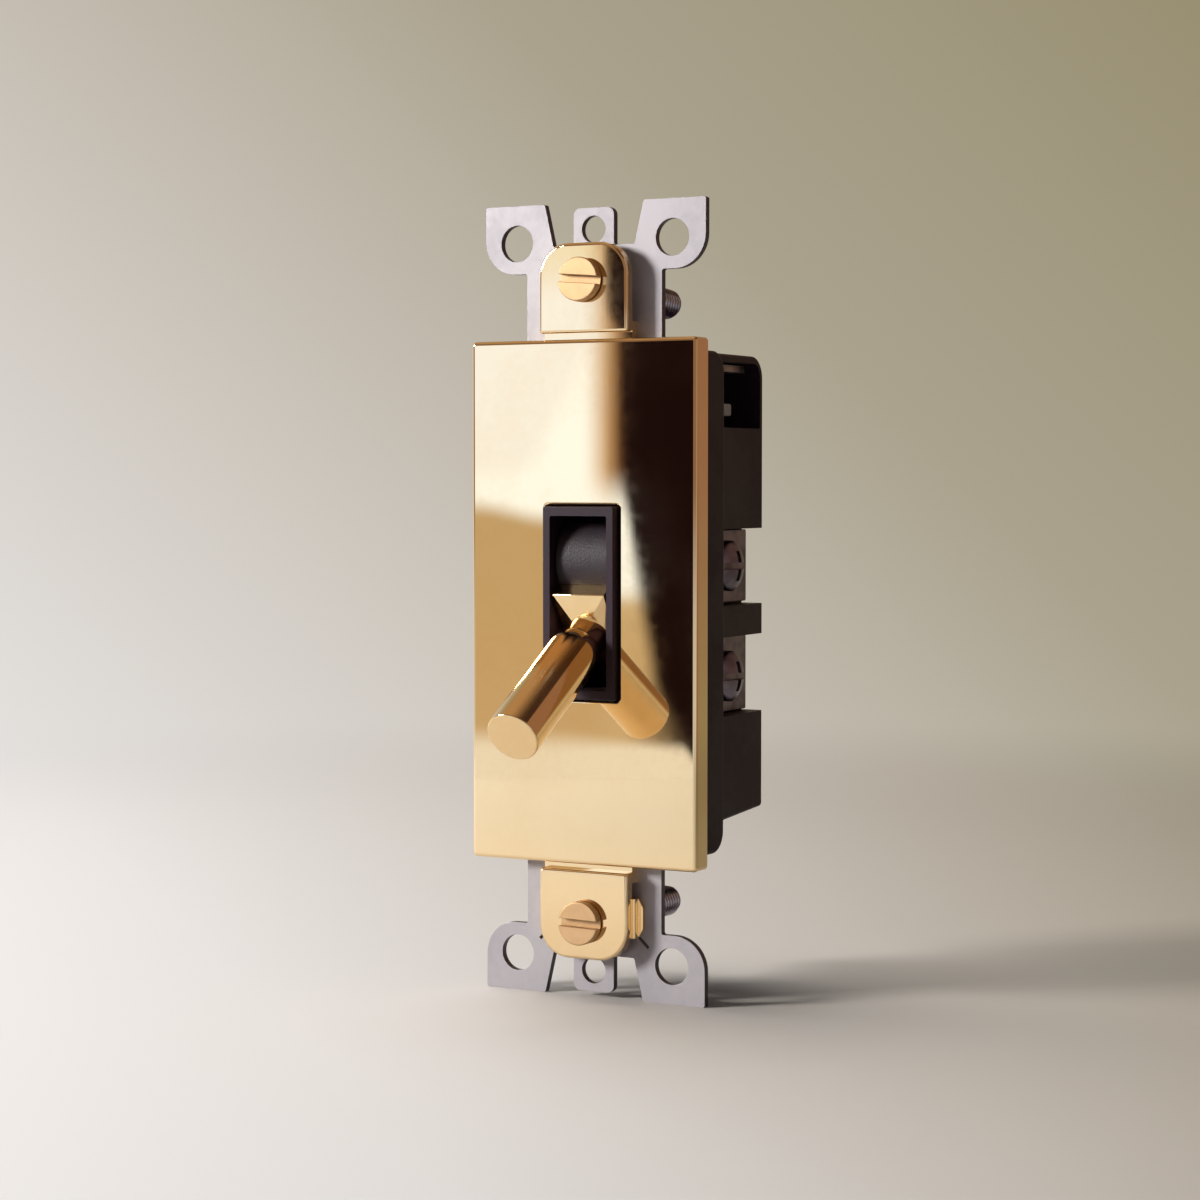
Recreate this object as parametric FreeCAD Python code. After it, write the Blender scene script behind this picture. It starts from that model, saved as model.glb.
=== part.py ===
import FreeCAD, Part
import math
import os

# Brass dolly switch: a lever switch on a steel mounting strap, with a brass face.
# Millimetres. Z up, X to the right seen from the front, the front faces -Y.
# The origin is the middle of the strap's rear face, where the switch meets its box.

os.makedirs("parts", exist_ok=True)
Vec = FreeCAD.Vector

# Fits
loose_gap = 0.3            # round a piece that only passes through a hole
slip_gap = 0.1             # moulded pieces that slide into each other
press_gap = 0.01           # rivets, pins and buttons driven home
running_gap = 0.05         # a pin or an edge that turns in its seat
past = 1.0                 # how far a cutting solid runs beyond what it cuts
lap = 0.3                  # how far two solids run into each other where they are joined
moulded_corner = 0.3       # small corners of the mouldings

# Mounting strap, stamped steel
strap_thick = 1.0
strap_width = 32.55
strap_height = 103.8
strap_panel_width = 29.0   # wide part behind the face
strap_panel_height = 62.0
strap_neck_width = 20.0
stamped_corner = 0.3       # corners of everything stamped from sheet
panel_corner_radius = 0.8
tab_corner_radius = 1.0
ear_height = 8.97
ear_outer_radius = 4.4
ear_inner_top = 7.3        # X of the ear's inner corner at its tip
ear_inner_foot = 6.0       # and at the floor of the notch
notch_depth = 5.6
ear_hole_radius = 2.4
ear_hole_inset_x = 4.775   # from the strap's side
ear_hole_inset_z = 4.95    # from its end
tab_width = 6.0            # small centre tab of the strap
tab_shortfall = 0.7        # how far the tab stays behind the ears
cover_hole_radius = 1.75
cover_hole_span = 96.8
box_screw_span = 83.3
slot_half_length = 4.0
box_slot_play = 0.6        # round the box screw in the strap's slot
box_hole_play = 0.35       # round it in the lug and the clip
slit_width = 0.4
slit_start = (5.5, 42.3)
slit_end = (8.1, 44.8)

# Brass face and the brass carrier behind it
face_width = 33.3
face_height = 68.1
face_depth = 3.2
face_front_wall = 1.7
face_rim_wall = 1.5
face_edge_radius = 0.5
window_corner_radius = 0.4
window_edge_radius = 0.35
window_gap = 0.15          # between the face's window and the collar
face_corner_radius = 0.6
carrier_thick = 1.5
carrier_side_gap = 1.65    # between the carrier's panel and the tray's rim
carrier_corner_radius = 1.0
lug_width = 13.0           # end lug of the carrier that shows above and below the face
lug_face_gap = 0.85        # between the face's end and the lug
lug_past_screw = 4.85      # from the box screw's centre to the lug's outer edge
lug_corner_radius = 4.2
lug_inner_radius = 0.3
lug_edge_radius = 0.4
lug_lap = 1.4              # how far the neck runs behind the lug

# Box screws, slotted cheese head
box_screw_radius = 2.05
box_screw_length = 26.8    # under the head
box_neck_radius = 1.85     # plain neck between head and thread
box_neck_length = 5.2
box_head_radius = 2.85
box_head_height = 1.3
box_head_edge = 0.12
box_screw_chamfer = 0.45
box_slot_width = 1.0
box_slot_depth = 1.05
box_screw_lift = 0.25      # play under the head of a screw that hangs askew
box_screw_swing = 2.2      # degrees towards -X
upper_screw_droop = 3.7
lower_screw_droop = 1.4
upper_slot_turn = 4.4
lower_slot_turn = 1.5

# Earthing clip under the lower lug
clip_sheet = 0.6
clip_width = 13.8
clip_foot = 0.7
clip_bevel = 1.2           # corner taken off each foot
clip_bend_radius = 0.25
clip_inner_radius = 0.1
clip_above_screw = 3.35    # from the lower box screw's centre to the clip's edges
clip_below_screw = 1.85

# Front housing: flange and collar, one moulding
flange_width = 31.4
flange_height = 65.0
flange_depth = 5.8
flange_edge_radius = 2.8
flange_side_radius = 0.5
collar_width = 10.5
collar_height = 25.0
collar_proud = 1.1
collar_open_width = 8.38
collar_open_height = 22.5
collar_lip = 5.8           # depth of the collar's narrow opening
collar_edge = 0.2
collar_corner_radius = 0.3
well_height = 24.2         # taller well behind the collar's lip

# Rear housing, moulded with draft
rear_depth = 17.6
rear_width_front = 26.6
rear_width_back = 25.6
rear_top = 32.5
rear_bottom_front = 29.5
rear_bottom_back = 28.5
rear_top_radius = 3.0
rear_edge = 0.5
rear_wall = 1.5
chamber_width = 10.0
bay_floor = 9.6            # X of the floor that the terminals lie on
upper_bay = (-0.8, 9.4)
lower_bay = (-15.4, -4.9)
window_low = 22.8
window_high = 31.5
window_front_wall = 1.2
window_back_wall = 1.1
side_window_radius = 2.0   # its upper back corner

# Housing rivets
rivet_radius = 1.3
rivet_head_radius = 2.2
rivet_head_height = 0.9
rivet_span_x = 17.0
upper_rivet_z = 17.5
lower_rivet_z = -21.0
tail_recess = 1.6
rivet_head_edge = 0.4

# Earth strip and insulating tab that show in the side window
earth_thick = 1.0
earth_corner = 0.2
earth_margin = 2.5         # to each side of its rivets' centres
earth_level = 30.3         # underside of the leg
earth_reach = 21.3
tab_block_width = 8.0
tab_level = 24.4
tab_thick = 1.6
tab_reach = 8.0
tab_foot = 2.0
tab_set_back = 0.7         # from the housing's side

# Dolly and rocker, measured from the pivot along the lever
pivot_y = 4.2
dolly_tilt = 31.5          # degrees below level at rest
pivot_pin_radius = 1.0
pivot_pin_length = 12.8
pivot_pin_edge = 0.15
bearing_depth = 0.2        # end play of the pin
lobe_offset = 6.0
lobe_back = 0.6
lobe_radius = 5.7
rocker_width = 7.8
rocker_web_back = 5.2
seat_level = 1.5           # where the brass block seats in the rocker
block_width = 7.6
block_height = 11.7
block_front = 7.5
facet_front = 8.7
facet_width = 2.6          # the four facets close in on the neck
facet_height = 5.2
neck_radius = 2.95
neck_end = 11.0
shoulder_end = 13.4
rod_radius = 3.5
rod_end = 30.7
rod_edge = 0.25
tang_width = 2.4
tang_height = 4.4
tang_back = 1.6
tang_lap = 0.5             # how far the tang runs into the block
guide_radius = 2.4
guide_back = 8.0

# Toggle spring
spring_wire = 0.22
spring_radius = 1.0
spring_turns = 8
spring_bore = 1.5
spring_seat = 2.4

# Contact cradle on its knife edge
cradle_pivot_y = 15.15
cradle_thick = 1.0
cradle_notch = 0.45
cradle_width = 5.2
cradle_length = 20.4
cradle_swing = 6.0         # degrees each way
contact_radius = 1.7
contact_thick = 0.9
contact_z = -8.0
closed_gap = 0.3
knife_half_angle = 25.0
knife_radius = 0.15
notch_half_angle = 45.0

# Terminals and terminal screws
terminal_thick = 1.0
terminal_front = 6.5
terminal_back = 22.7
terminal_gap = 0.2
upper_screw_z = 4.4
lower_screw_z = -10.4
terminal_screw_y = 16.5
terminal_screw_radius = 2.0
terminal_head_radius = 3.4
terminal_head_height = 2.1
terminal_dome_rise = 1.3
terminal_screw_chamfer = 0.4
terminal_shank = 4.4
terminal_screw_play = 0.4  # round the screw's shank in the housing
terminal_leg_reach = 4.5   # how far the knife's shelf runs back from its edge
drive_width = 0.9
drive_depth = 1.0
drive_cross = 4.0

# Rubber stop behind the upper end of the cradle
stop_height = 3.0
stop_thick = 1.5
stop_z = 8.6
stop_gap = 0.3

# Sizes worked out from those above
face_back = -strap_thick
face_front = face_back - face_depth
lug_back = face_back - carrier_thick
lug_front = lug_back - carrier_thick
collar_front = face_front - collar_proud
flange_back = flange_depth
housing_back = flange_back + rear_depth
screw_z = box_screw_span / 2
head_back = lug_front - box_screw_lift
lug_inner_edge = face_height / 2 + lug_face_gap
lug_outer_edge = screw_z + lug_past_screw
clip_top = screw_z - clip_above_screw
clip_bottom = screw_z + clip_below_screw
cradle_back = cradle_pivot_y + cradle_notch
cradle_front = cradle_back - cradle_thick
swing_sine = math.sin(math.radians(cradle_swing))
stop_front = cradle_back + (stop_z + stop_height / 2) * swing_sine + stop_gap
contact_face = cradle_back + contact_thick - contact_z * swing_sine + closed_gap
contact_leg = contact_face + contact_thick
knife_back = cradle_pivot_y + terminal_leg_reach
earth_width = rivet_span_x + 2 * earth_margin


def box(x0, x1, y0, y1, z0, z1):
    """Box between two corners."""
    return Part.makeBox(x1 - x0, y1 - y0, z1 - z0, Vec(x0, y0, z0))


def rod_x(y, z, radius, x0, x1):
    """Round bar along X."""
    return Part.makeCylinder(radius, x1 - x0, Vec(x0, y, z), Vec(1, 0, 0))


def rod_y(x, z, radius, y0, y1):
    """Round bar along Y."""
    return Part.makeCylinder(radius, y1 - y0, Vec(x, y0, z), Vec(0, 1, 0))


def rounded_outline(corners, place):
    """Closed wire through corners (u, v, radius), with a tangent arc at each radius."""
    edges = []
    starts = []
    ends = []
    arcs = []
    count = len(corners)
    for i in range(count):
        u, v, radius = corners[i]
        here = place(u, v)
        before = (place(*corners[i - 1][:2]) - here).normalize()
        after = (place(*corners[(i + 1) % count][:2]) - here).normalize()
        if radius <= 0:
            starts.append(here)
            ends.append(here)
            arcs.append(None)
            continue
        half = before.getAngle(after) / 2
        reach = radius / math.tan(half)
        middle = (before + after).normalize()
        centre = here + middle * (radius / math.sin(half))
        starts.append(here + before * reach)
        ends.append(here + after * reach)
        arcs.append(centre - middle * radius)
    for i in range(count):
        if arcs[i] is not None:
            edges.append(Part.Arc(starts[i], arcs[i], ends[i]).toShape())
        following = starts[(i + 1) % count]
        if (following - ends[i]).Length > 1e-6:
            edges.append(Part.LineSegment(ends[i], following).toShape())
    return Part.Wire(edges)


def plate_xz(corners, y0, y1):
    """Flat plate with an outline in X and Z."""
    wire = rounded_outline(corners, lambda u, v: Vec(u, y0, v))
    return Part.Face(wire).extrude(Vec(0, y1 - y0, 0))


def rectangle(half_width, low, high, radius):
    """Corner list of a rectangle centred on X = 0."""
    return [(-half_width, low, radius), (half_width, low, radius),
            (half_width, high, radius), (-half_width, high, radius)]


def slab_yz(corners, x0, x1):
    """Flat plate with an outline in Y and Z."""
    wire = rounded_outline(corners, lambda u, v: Vec(x0, u, v))
    return Part.Face(wire).extrude(Vec(x1 - x0, 0, 0))


def edges_at(shape, test):
    """Edges whose bounding box passes the test."""
    return [edge for edge in shape.Edges if test(edge.BoundBox)]


def flat_at_y(level):
    """Test for an edge that lies in the plane Y = level."""
    return lambda b: abs(b.YMin - level) < 1e-4 and abs(b.YMax - level) < 1e-4


def outer_face_edges(shape, level, half_width, half_height):
    """Edges of the outer outline of a flat face at Y = level."""
    def outer(b):
        wide = b.XMin < -half_width + 1 or b.XMax > half_width - 1
        tall = b.ZMin < -half_height + 1 or b.ZMax > half_height - 1
        return flat_at_y(level)(b) and (wide or tall)
    return edges_at(shape, outer)


def mirrored_x(shape):
    return shape.mirror(Vec(0, 0, 0), Vec(1, 0, 0))


def mirrored_z(shape):
    return shape.mirror(Vec(0, 0, 0), Vec(0, 0, 1))


def tilted(shape):
    """Turn a piece drawn along -Y from the pivot down to the dolly's rest position."""
    turned = shape.copy()
    turned.rotate(Vec(0, pivot_y, 0), Vec(1, 0, 0), dolly_tilt)
    return turned


def along(distance):
    """Y of a point at this distance from the pivot towards the knob, lever level."""
    return pivot_y - distance


def rivet_places():
    half = rivet_span_x / 2
    return [(x, z) for z in (upper_rivet_z, lower_rivet_z) for x in (-half, half)]


def make_strap():
    """Stamped strap: four ears, two centre tabs and the panel behind the face."""
    half = strap_width / 2
    top = strap_height / 2
    neck = strap_neck_width / 2
    panel = strap_panel_width / 2
    panel_top = strap_panel_height / 2
    notch_floor = top - notch_depth
    ear_low_edge = top - ear_height
    quarter = [
        (tab_width / 2, top - tab_shortfall, tab_corner_radius),
        (tab_width / 2, notch_floor, stamped_corner),
        (ear_inner_foot, notch_floor, stamped_corner),
        (ear_inner_top, top, stamped_corner),
        (half, top, stamped_corner),
        (half, ear_low_edge, ear_outer_radius),
        (neck, ear_low_edge, stamped_corner),
        (neck, panel_top, stamped_corner),
        (panel, panel_top, panel_corner_radius),
    ]
    lower = [(x, -z, r) for x, z, r in reversed(quarter)]
    right = quarter + lower
    left = [(-x, z, r) for x, z, r in reversed(right)]
    strap = plate_xz(right + left, -strap_thick, 0)
    through = (-strap_thick - past, past)
    cuts = [plate_xz(rectangle(collar_width / 2 + loose_gap, -collar_height / 2 - loose_gap,
                               collar_height / 2 + loose_gap, stamped_corner), *through)]
    slot_half = box_screw_radius + box_slot_play
    for side in (-1, 1):
        cuts.append(rod_y(0, side * cover_hole_span / 2, cover_hole_radius, *through))
        cuts.append(plate_xz([(x, z + side * screw_z, r) for x, z, r in
                              rectangle(slot_half_length, -slot_half, slot_half, slot_half - 0.01)],
                             *through))
        for end in (-1, 1):
            cuts.append(rod_y(side * (half - ear_hole_inset_x), end * (top - ear_hole_inset_z),
                              ear_hole_radius, *through))
    for x, z in rivet_places():
        cuts.append(rod_y(x, z, rivet_radius + press_gap, *through))
    slit = slit_cut()
    cuts += [slit, mirrored_x(slit)]
    return strap.cut(cuts)


def slit_cut():
    """Diagonal slit that lets a lower ear be snapped off."""
    start = Vec(slit_start[0], -strap_thick - past, -slit_start[1])
    end = Vec(slit_end[0], -strap_thick - past, -slit_end[1])
    run = end - start
    bar = Part.makeBox(run.Length, strap_thick + 2 * past, slit_width, Vec(0, 0, -slit_width / 2))
    bar.rotate(Vec(0, 0, 0), Vec(0, 1, 0), math.degrees(math.atan2(-run.z, run.x)))
    bar.translate(start)
    return bar


def make_face():
    """Polished brass tray: front wall, shallow rim, window for the collar."""
    half_w = face_width / 2
    half_h = face_height / 2
    tray = plate_xz(rectangle(half_w, -half_h, half_h, face_corner_radius), face_front, face_back)
    hollow = plate_xz(rectangle(half_w - face_rim_wall, face_rim_wall - half_h, half_h - face_rim_wall,
                                stamped_corner),
                      face_front + face_front_wall, face_back + past)
    neck = lug_width / 2 + slip_gap
    notch = box(-neck, neck, face_front + face_front_wall, face_back + past, -half_h - past, half_h + past)
    tray = tray.cut([hollow, notch])
    tray = tray.makeFillet(face_edge_radius, outer_face_edges(tray, face_front, half_w, half_h))
    gap = window_gap
    window = plate_xz(rectangle(collar_width / 2 + gap, -collar_height / 2 - gap,
                                collar_height / 2 + gap, window_corner_radius),
                      face_front - past, face_back)
    tray = tray.cut(window)
    rim = edges_at(tray, lambda b: flat_at_y(face_front)(b) and abs(b.XMin) < collar_width
                   and abs(b.XMax) < collar_width and abs(b.ZMin) < collar_height)
    return tray.makeFillet(window_edge_radius, rim)


def make_carrier():
    """Brass sheet behind the face, notched round the rivet heads, with a lug at each end."""
    half = face_width / 2 - face_rim_wall - carrier_side_gap
    neck = lug_width / 2
    panel_top = face_height / 2 - face_rim_wall - loose_gap
    neck_top = lug_inner_edge + lug_lap
    panel = plate_xz(rectangle(half, -panel_top, panel_top, carrier_corner_radius), lug_back, face_back)
    gap = loose_gap
    cuts = [box(-collar_width / 2 - gap, collar_width / 2 + gap, lug_back - past, 0,
                -collar_height / 2 - gap, collar_height / 2 + gap)]
    clear = rivet_head_radius + loose_gap
    for x, z in rivet_places():
        inner, outer = sorted((x, math.copysign(half + past, x)))
        cuts.append(rod_y(x, z, clear, lug_back - past, 0))
        cuts.append(box(inner, outer, lug_back - past, 0, z - clear, z + clear))
    lug = plate_xz([(-neck, lug_inner_edge, lug_inner_radius), (neck, lug_inner_edge, lug_inner_radius),
                    (neck, lug_outer_edge, lug_corner_radius),
                    (-neck, lug_outer_edge, lug_corner_radius)], lug_front, lug_back)
    lug = lug.makeFillet(lug_edge_radius, edges_at(lug, flat_at_y(lug_front)))
    strip = box(-neck, neck, lug_back, face_back, panel_top - past, neck_top)
    hole = rod_y(0, screw_z, box_screw_radius + box_hole_play, lug_front - past, 0)
    end = lug.fuse(strip).cut(hole)
    return panel.fuse([end, mirrored_z(end)]).cut(cuts).removeSplitter()


def make_clip():
    """Hat-shaped earthing clip, pinched between the lower lug and the strap."""
    half = clip_width / 2
    profile = [(-half - clip_foot, face_back, 0), (-half - clip_foot, face_back - clip_sheet, 0),
               (-half, face_back - clip_sheet, 0), (-half, lug_back, clip_bend_radius),
               (half, lug_back, clip_bend_radius),
               (half, face_back - clip_sheet, 0), (half + clip_foot, face_back - clip_sheet, 0),
               (half + clip_foot, face_back, 0), (half - clip_sheet, face_back, 0),
               (half - clip_sheet, lug_back + clip_sheet, clip_inner_radius),
               (-half + clip_sheet, lug_back + clip_sheet, clip_inner_radius),
               (-half + clip_sheet, face_back, 0)]
    wire = rounded_outline(profile, lambda u, v: Vec(u, v, -clip_bottom))
    clip = Part.Face(wire).extrude(Vec(0, 0, clip_bottom - clip_top))
    reach = half + clip_foot
    low = -clip_bottom
    high = -clip_top
    mask = plate_xz([(-reach, low + clip_bevel, 0), (-half, low, 0), (half, low, 0),
                     (reach, low + clip_bevel, 0), (reach, high - clip_bevel, 0), (half, high, 0),
                     (-half, high, 0), (-reach, high - clip_bevel, 0)], lug_back - past, 0)
    hole = rod_y(0, -screw_z, box_screw_radius + box_hole_play, lug_back - past, 0)
    return clip.common(mask).cut(hole)


def make_box_screw(side, droop, slot_turn):
    """Slotted cheese-head screw, hanging a little askew in its hole."""
    head = rod_y(0, 0, box_head_radius, -box_head_height, 0)
    head = head.makeFillet(box_head_edge, edges_at(head, flat_at_y(-box_head_height)))
    neck = rod_y(0, 0, box_neck_radius, 0, box_neck_length)
    shank = rod_y(0, 0, box_screw_radius, box_neck_length, box_screw_length)
    shank = shank.makeChamfer(box_screw_chamfer, edges_at(shank, flat_at_y(box_screw_length)))
    slot = box(-box_head_radius - past, box_head_radius + past, -box_head_height - past,
               box_slot_depth - box_head_height, -box_slot_width / 2, box_slot_width / 2)
    slot.rotate(Vec(0, 0, 0), Vec(0, 1, 0), slot_turn)
    screw = head.fuse([neck, shank]).cut(slot)
    screw.rotate(Vec(0, 0, 0), Vec(1, 0, 0), -droop)
    screw.rotate(Vec(0, 0, 0), Vec(0, 0, 1), box_screw_swing)
    screw.translate(Vec(0, head_back, side * screw_z))
    return screw


def make_front_housing():
    """Flange and collar in one moulding, with the well for the rocker."""
    half_w = flange_width / 2
    half_h = flange_height / 2
    r = flange_edge_radius
    flange = slab_yz([(0, -half_h, 0), (flange_back, -half_h, r), (flange_back, half_h, r),
                      (0, half_h, 0)], -half_w, half_w)
    sides = edges_at(flange, lambda b: b.XMax - b.XMin < 1e-4 and b.YMax > 0.01)
    flange = flange.makeFillet(flange_side_radius, sides)
    tall = collar_height / 2
    collar = plate_xz(rectangle(collar_width / 2, -tall, tall, collar_corner_radius), collar_front, 0)
    collar = collar.makeFillet(collar_edge, edges_at(collar, flat_at_y(collar_front)))
    half_open = collar_open_width / 2
    well_front = collar_front + collar_lip
    opening = plate_xz(rectangle(half_open, -collar_open_height / 2, collar_open_height / 2,
                                 collar_corner_radius), collar_front - past, well_front)
    well = box(-half_open, half_open, well_front, flange_back + past, -well_height / 2, well_height / 2)
    pin = pivot_pin_radius + running_gap
    reach = pivot_pin_length / 2 + bearing_depth
    bearing = rod_x(pivot_y, 0, pin, -reach, reach)
    notch = box(-reach, reach, pivot_y, flange_back + past, -pin, pin)
    earth = earth_width / 2 + slip_gap
    foot = upper_rivet_z - rivet_head_radius - slip_gap
    top = earth_level + earth_thick + slip_gap
    pocket = box(-earth, earth, -past, earth_thick + slip_gap, foot, top)
    slot = box(-earth, earth, -past, flange_back + past, earth_level - slip_gap, top)
    cuts = [opening, well, bearing, notch, pocket, slot]
    for x, z in rivet_places():
        cuts.append(rod_y(x, z, rivet_radius + press_gap, -past, flange_back + past))
    return flange.fuse(collar).cut(cuts).removeSplitter()


def rear_shell():
    """Outer form of the rear housing: a drafted block with a round top edge at the back."""
    wires = []
    for y, width, bottom in ((flange_back, rear_width_front, rear_bottom_front),
                             (housing_back, rear_width_back, rear_bottom_back)):
        points = [Vec(-width / 2, y, -bottom), Vec(width / 2, y, -bottom),
                  Vec(width / 2, y, rear_top), Vec(-width / 2, y, rear_top)]
        wires.append(Part.makePolygon(points + points[:1]))
    body = Part.makeLoft(wires, True, True)
    top_edge = edges_at(body, lambda b: flat_at_y(housing_back)(b) and b.ZMin > rear_top - 1)
    body = body.makeFillet(rear_top_radius, top_edge)
    rest = edges_at(body, lambda b: (flat_at_y(housing_back)(b) and b.ZMax < rear_top - 1)
                    or (b.YMax - b.YMin > 2 and b.XMax - b.XMin < 2 and b.ZMax - b.ZMin < 4))
    return body.makeFillet(rear_edge, rest)


def make_rear_housing():
    """Rear moulding: contact chamber, terminal bays, side window and bearing caps."""
    body = rear_shell()
    half = chamber_width / 2
    chamber = box(-half, half, flange_back - past, housing_back - rear_wall,
                  -well_height / 2, well_height / 2)
    cuts = [chamber]
    far = rear_width_front
    for low, high in (upper_bay, lower_bay):
        cuts.append(box(bay_floor, far, flange_back - past, housing_back + past, low, high))
    window_front = flange_back + window_front_wall
    window_back = housing_back - window_back_wall
    cuts.append(slab_yz([(window_front, window_low, moulded_corner),
                         (window_back, window_low, moulded_corner),
                         (window_back, window_high, side_window_radius),
                         (window_front, window_high, moulded_corner)],
                        window_back_wall - rear_width_back / 2, far))
    earth = earth_width / 2 + slip_gap
    cuts.append(box(-earth, earth, flange_back - past, window_front + past, earth_level - slip_gap,
                    earth_level + earth_thick + slip_gap))
    for z in (upper_screw_z, lower_screw_z):
        cuts.append(rod_x(terminal_screw_y, z, terminal_screw_radius + terminal_screw_play,
                          bay_floor + terminal_thick - terminal_shank - terminal_screw_play, far))
    gap = slip_gap
    leg = terminal_thick / 2 + gap
    cuts.append(box(0, bay_floor + past, cradle_pivot_y - knife_radius - gap, knife_back + gap, -leg, leg))
    shelf_high = lower_bay[1] - terminal_gap + gap
    cuts.append(box(0, bay_floor + past, contact_face - gap, contact_leg + terminal_thick + gap,
                    contact_z - contact_radius - gap, shelf_high))
    for x, z in rivet_places():
        cuts.append(rod_y(x, z, rivet_radius + press_gap, flange_back - past, housing_back + past))
        cuts.append(rod_y(x, z, rivet_head_radius + slip_gap,
                          housing_back - tail_recess, housing_back + past))
    body = body.cut(cuts)
    post = box(-half, half, stop_front + stop_thick, housing_back - rear_wall + lap,
               stop_z - stop_height / 2, stop_z + stop_height / 2)
    cap_half = pivot_pin_radius + running_gap - slip_gap / 2
    caps = []
    for side in (-1, 1):
        inner = half
        outer = pivot_pin_length / 2
        x0, x1 = sorted((side * inner, side * outer))
        caps.append(box(x0, x1, pivot_y + slip_gap, flange_back + lap, -cap_half, cap_half))
    journal = rod_x(pivot_y, 0, pivot_pin_radius + running_gap, -half * 2, half * 2)
    return body.fuse([post] + caps).cut(journal).removeSplitter()


def terminal_plate(low, high, screw_level):
    """Flat part of a terminal on the floor of its bay, with the screw's hole."""
    plate = slab_yz([(terminal_front, low, stamped_corner), (terminal_back, low, stamped_corner),
                     (terminal_back, high, stamped_corner), (terminal_front, high, stamped_corner)],
                    bay_floor, bay_floor + terminal_thick)
    return plate.cut(rod_x(terminal_screw_y, screw_level, terminal_screw_radius + running_gap,
                           bay_floor - past, bay_floor + terminal_thick + past))


def make_upper_terminal():
    """Terminal whose folded shelf ends in the knife edge under the cradle."""
    half = terminal_thick / 2
    plate = terminal_plate(-half, upper_bay[1] - terminal_gap, upper_screw_z)
    flank = math.radians(knife_half_angle)
    tip = cradle_pivot_y - knife_radius / math.sin(flank)
    bevel = half / math.tan(flank)
    profile = [(tip, 0, knife_radius), (tip + bevel, -half, 0), (knife_back, -half, 0),
               (knife_back, half, 0), (tip + bevel, half, 0)]
    shelf = slab_yz(profile, -cradle_width / 2, bay_floor + lap)
    return plate.fuse(shelf).removeSplitter()


def make_lower_terminal():
    """Terminal with a shelf folded down into the leg that carries the fixed contact."""
    high = lower_bay[1] - terminal_gap
    plate = terminal_plate(lower_bay[0] + terminal_gap, high, lower_screw_z)
    leg_back = contact_leg + terminal_thick
    shelf = box(-cradle_width / 2, bay_floor + lap, contact_face + slip_gap, leg_back,
                high - terminal_thick, high)
    leg = box(-cradle_width / 2, cradle_width / 2, contact_leg, leg_back,
              contact_z - contact_radius, high)
    return plate.fuse([shelf, leg]).removeSplitter()


def make_terminal_screw(z):
    """Domed screw with a slot and a cross, turned into the terminal from the side."""
    base = bay_floor + terminal_thick + running_gap
    height = terminal_head_height
    dome_rise = terminal_dome_rise
    r = terminal_head_radius
    rim = height - dome_rise
    profile = [
        Part.LineSegment(Vec(0, 0, 0), Vec(0, r, 0)).toShape(),
        Part.LineSegment(Vec(0, r, 0), Vec(rim, r, 0)).toShape(),
        Part.Arc(Vec(rim, r, 0), Vec(height - 0.3 * dome_rise, r * 0.62, 0), Vec(height, 0, 0)).toShape(),
        Part.LineSegment(Vec(height, 0, 0), Vec(0, 0, 0)).toShape(),
    ]
    head = Part.Face(Part.Wire(profile)).revolve(Vec(0, 0, 0), Vec(1, 0, 0), 360)
    shank = rod_x(0, 0, terminal_screw_radius, -terminal_shank, lap)
    tip = edges_at(shank, lambda b: b.XMax < lap - terminal_shank)
    shank = shank.makeChamfer(terminal_screw_chamfer, tip)
    deep = height - drive_depth
    slot = box(deep, height + past, -r - past, r + past, -drive_width / 2, drive_width / 2)
    cross = box(deep, height + past, -drive_width / 2, drive_width / 2, -drive_cross / 2, drive_cross / 2)
    screw = head.fuse(shank).cut([slot, cross])
    screw.translate(Vec(base, terminal_screw_y, z))
    return screw


def make_rivets():
    """Four rivets from the strap to the back of the rear housing."""
    tail = housing_back - tail_recess
    rivets = []
    for x, z in rivet_places():
        shank = rod_y(x, z, rivet_radius, -strap_thick, tail)
        head = rod_y(x, z, rivet_head_radius, -strap_thick - rivet_head_height, -strap_thick)
        head = head.makeFillet(rivet_head_edge, edges_at(head, flat_at_y(-strap_thick - rivet_head_height)))
        button = rod_y(x, z, rivet_head_radius, tail, tail + rivet_head_height)
        button = button.makeFillet(rivet_head_edge, edges_at(button, flat_at_y(tail + rivet_head_height)))
        rivets.append(shank.fuse([head, button]).removeSplitter())
    return Part.makeCompound(rivets)


def make_earth_strip():
    """Steel angle, clamped under the strap, whose leg runs back inside the housing."""
    top = earth_level + earth_thick
    foot = upper_rivet_z - rivet_head_radius
    r = earth_corner
    strip = slab_yz([(0, foot, r), (earth_thick, foot, r), (earth_thick, earth_level, r),
                     (earth_reach, earth_level, r), (earth_reach, top, r), (0, top, earth_thick)],
                    -earth_width / 2, earth_width / 2)
    holes = [rod_y(x, z, rivet_radius + press_gap, -past, earth_thick + past) for x, z in rivet_places()]
    return strip.cut(holes)


def make_insulating_tab():
    """Small cream nylon bracket in the side window."""
    front = flange_back + window_front_wall
    right = rear_width_back / 2 - tab_set_back
    r = moulded_corner
    return slab_yz([(front, window_low, r), (front + tab_foot, window_low, 0),
                    (front + tab_foot, tab_level, r), (front + tab_reach, tab_level, r),
                    (front + tab_reach, tab_level + tab_thick, r), (front, tab_level + tab_thick, 0)],
                   right - tab_block_width, right)


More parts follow.
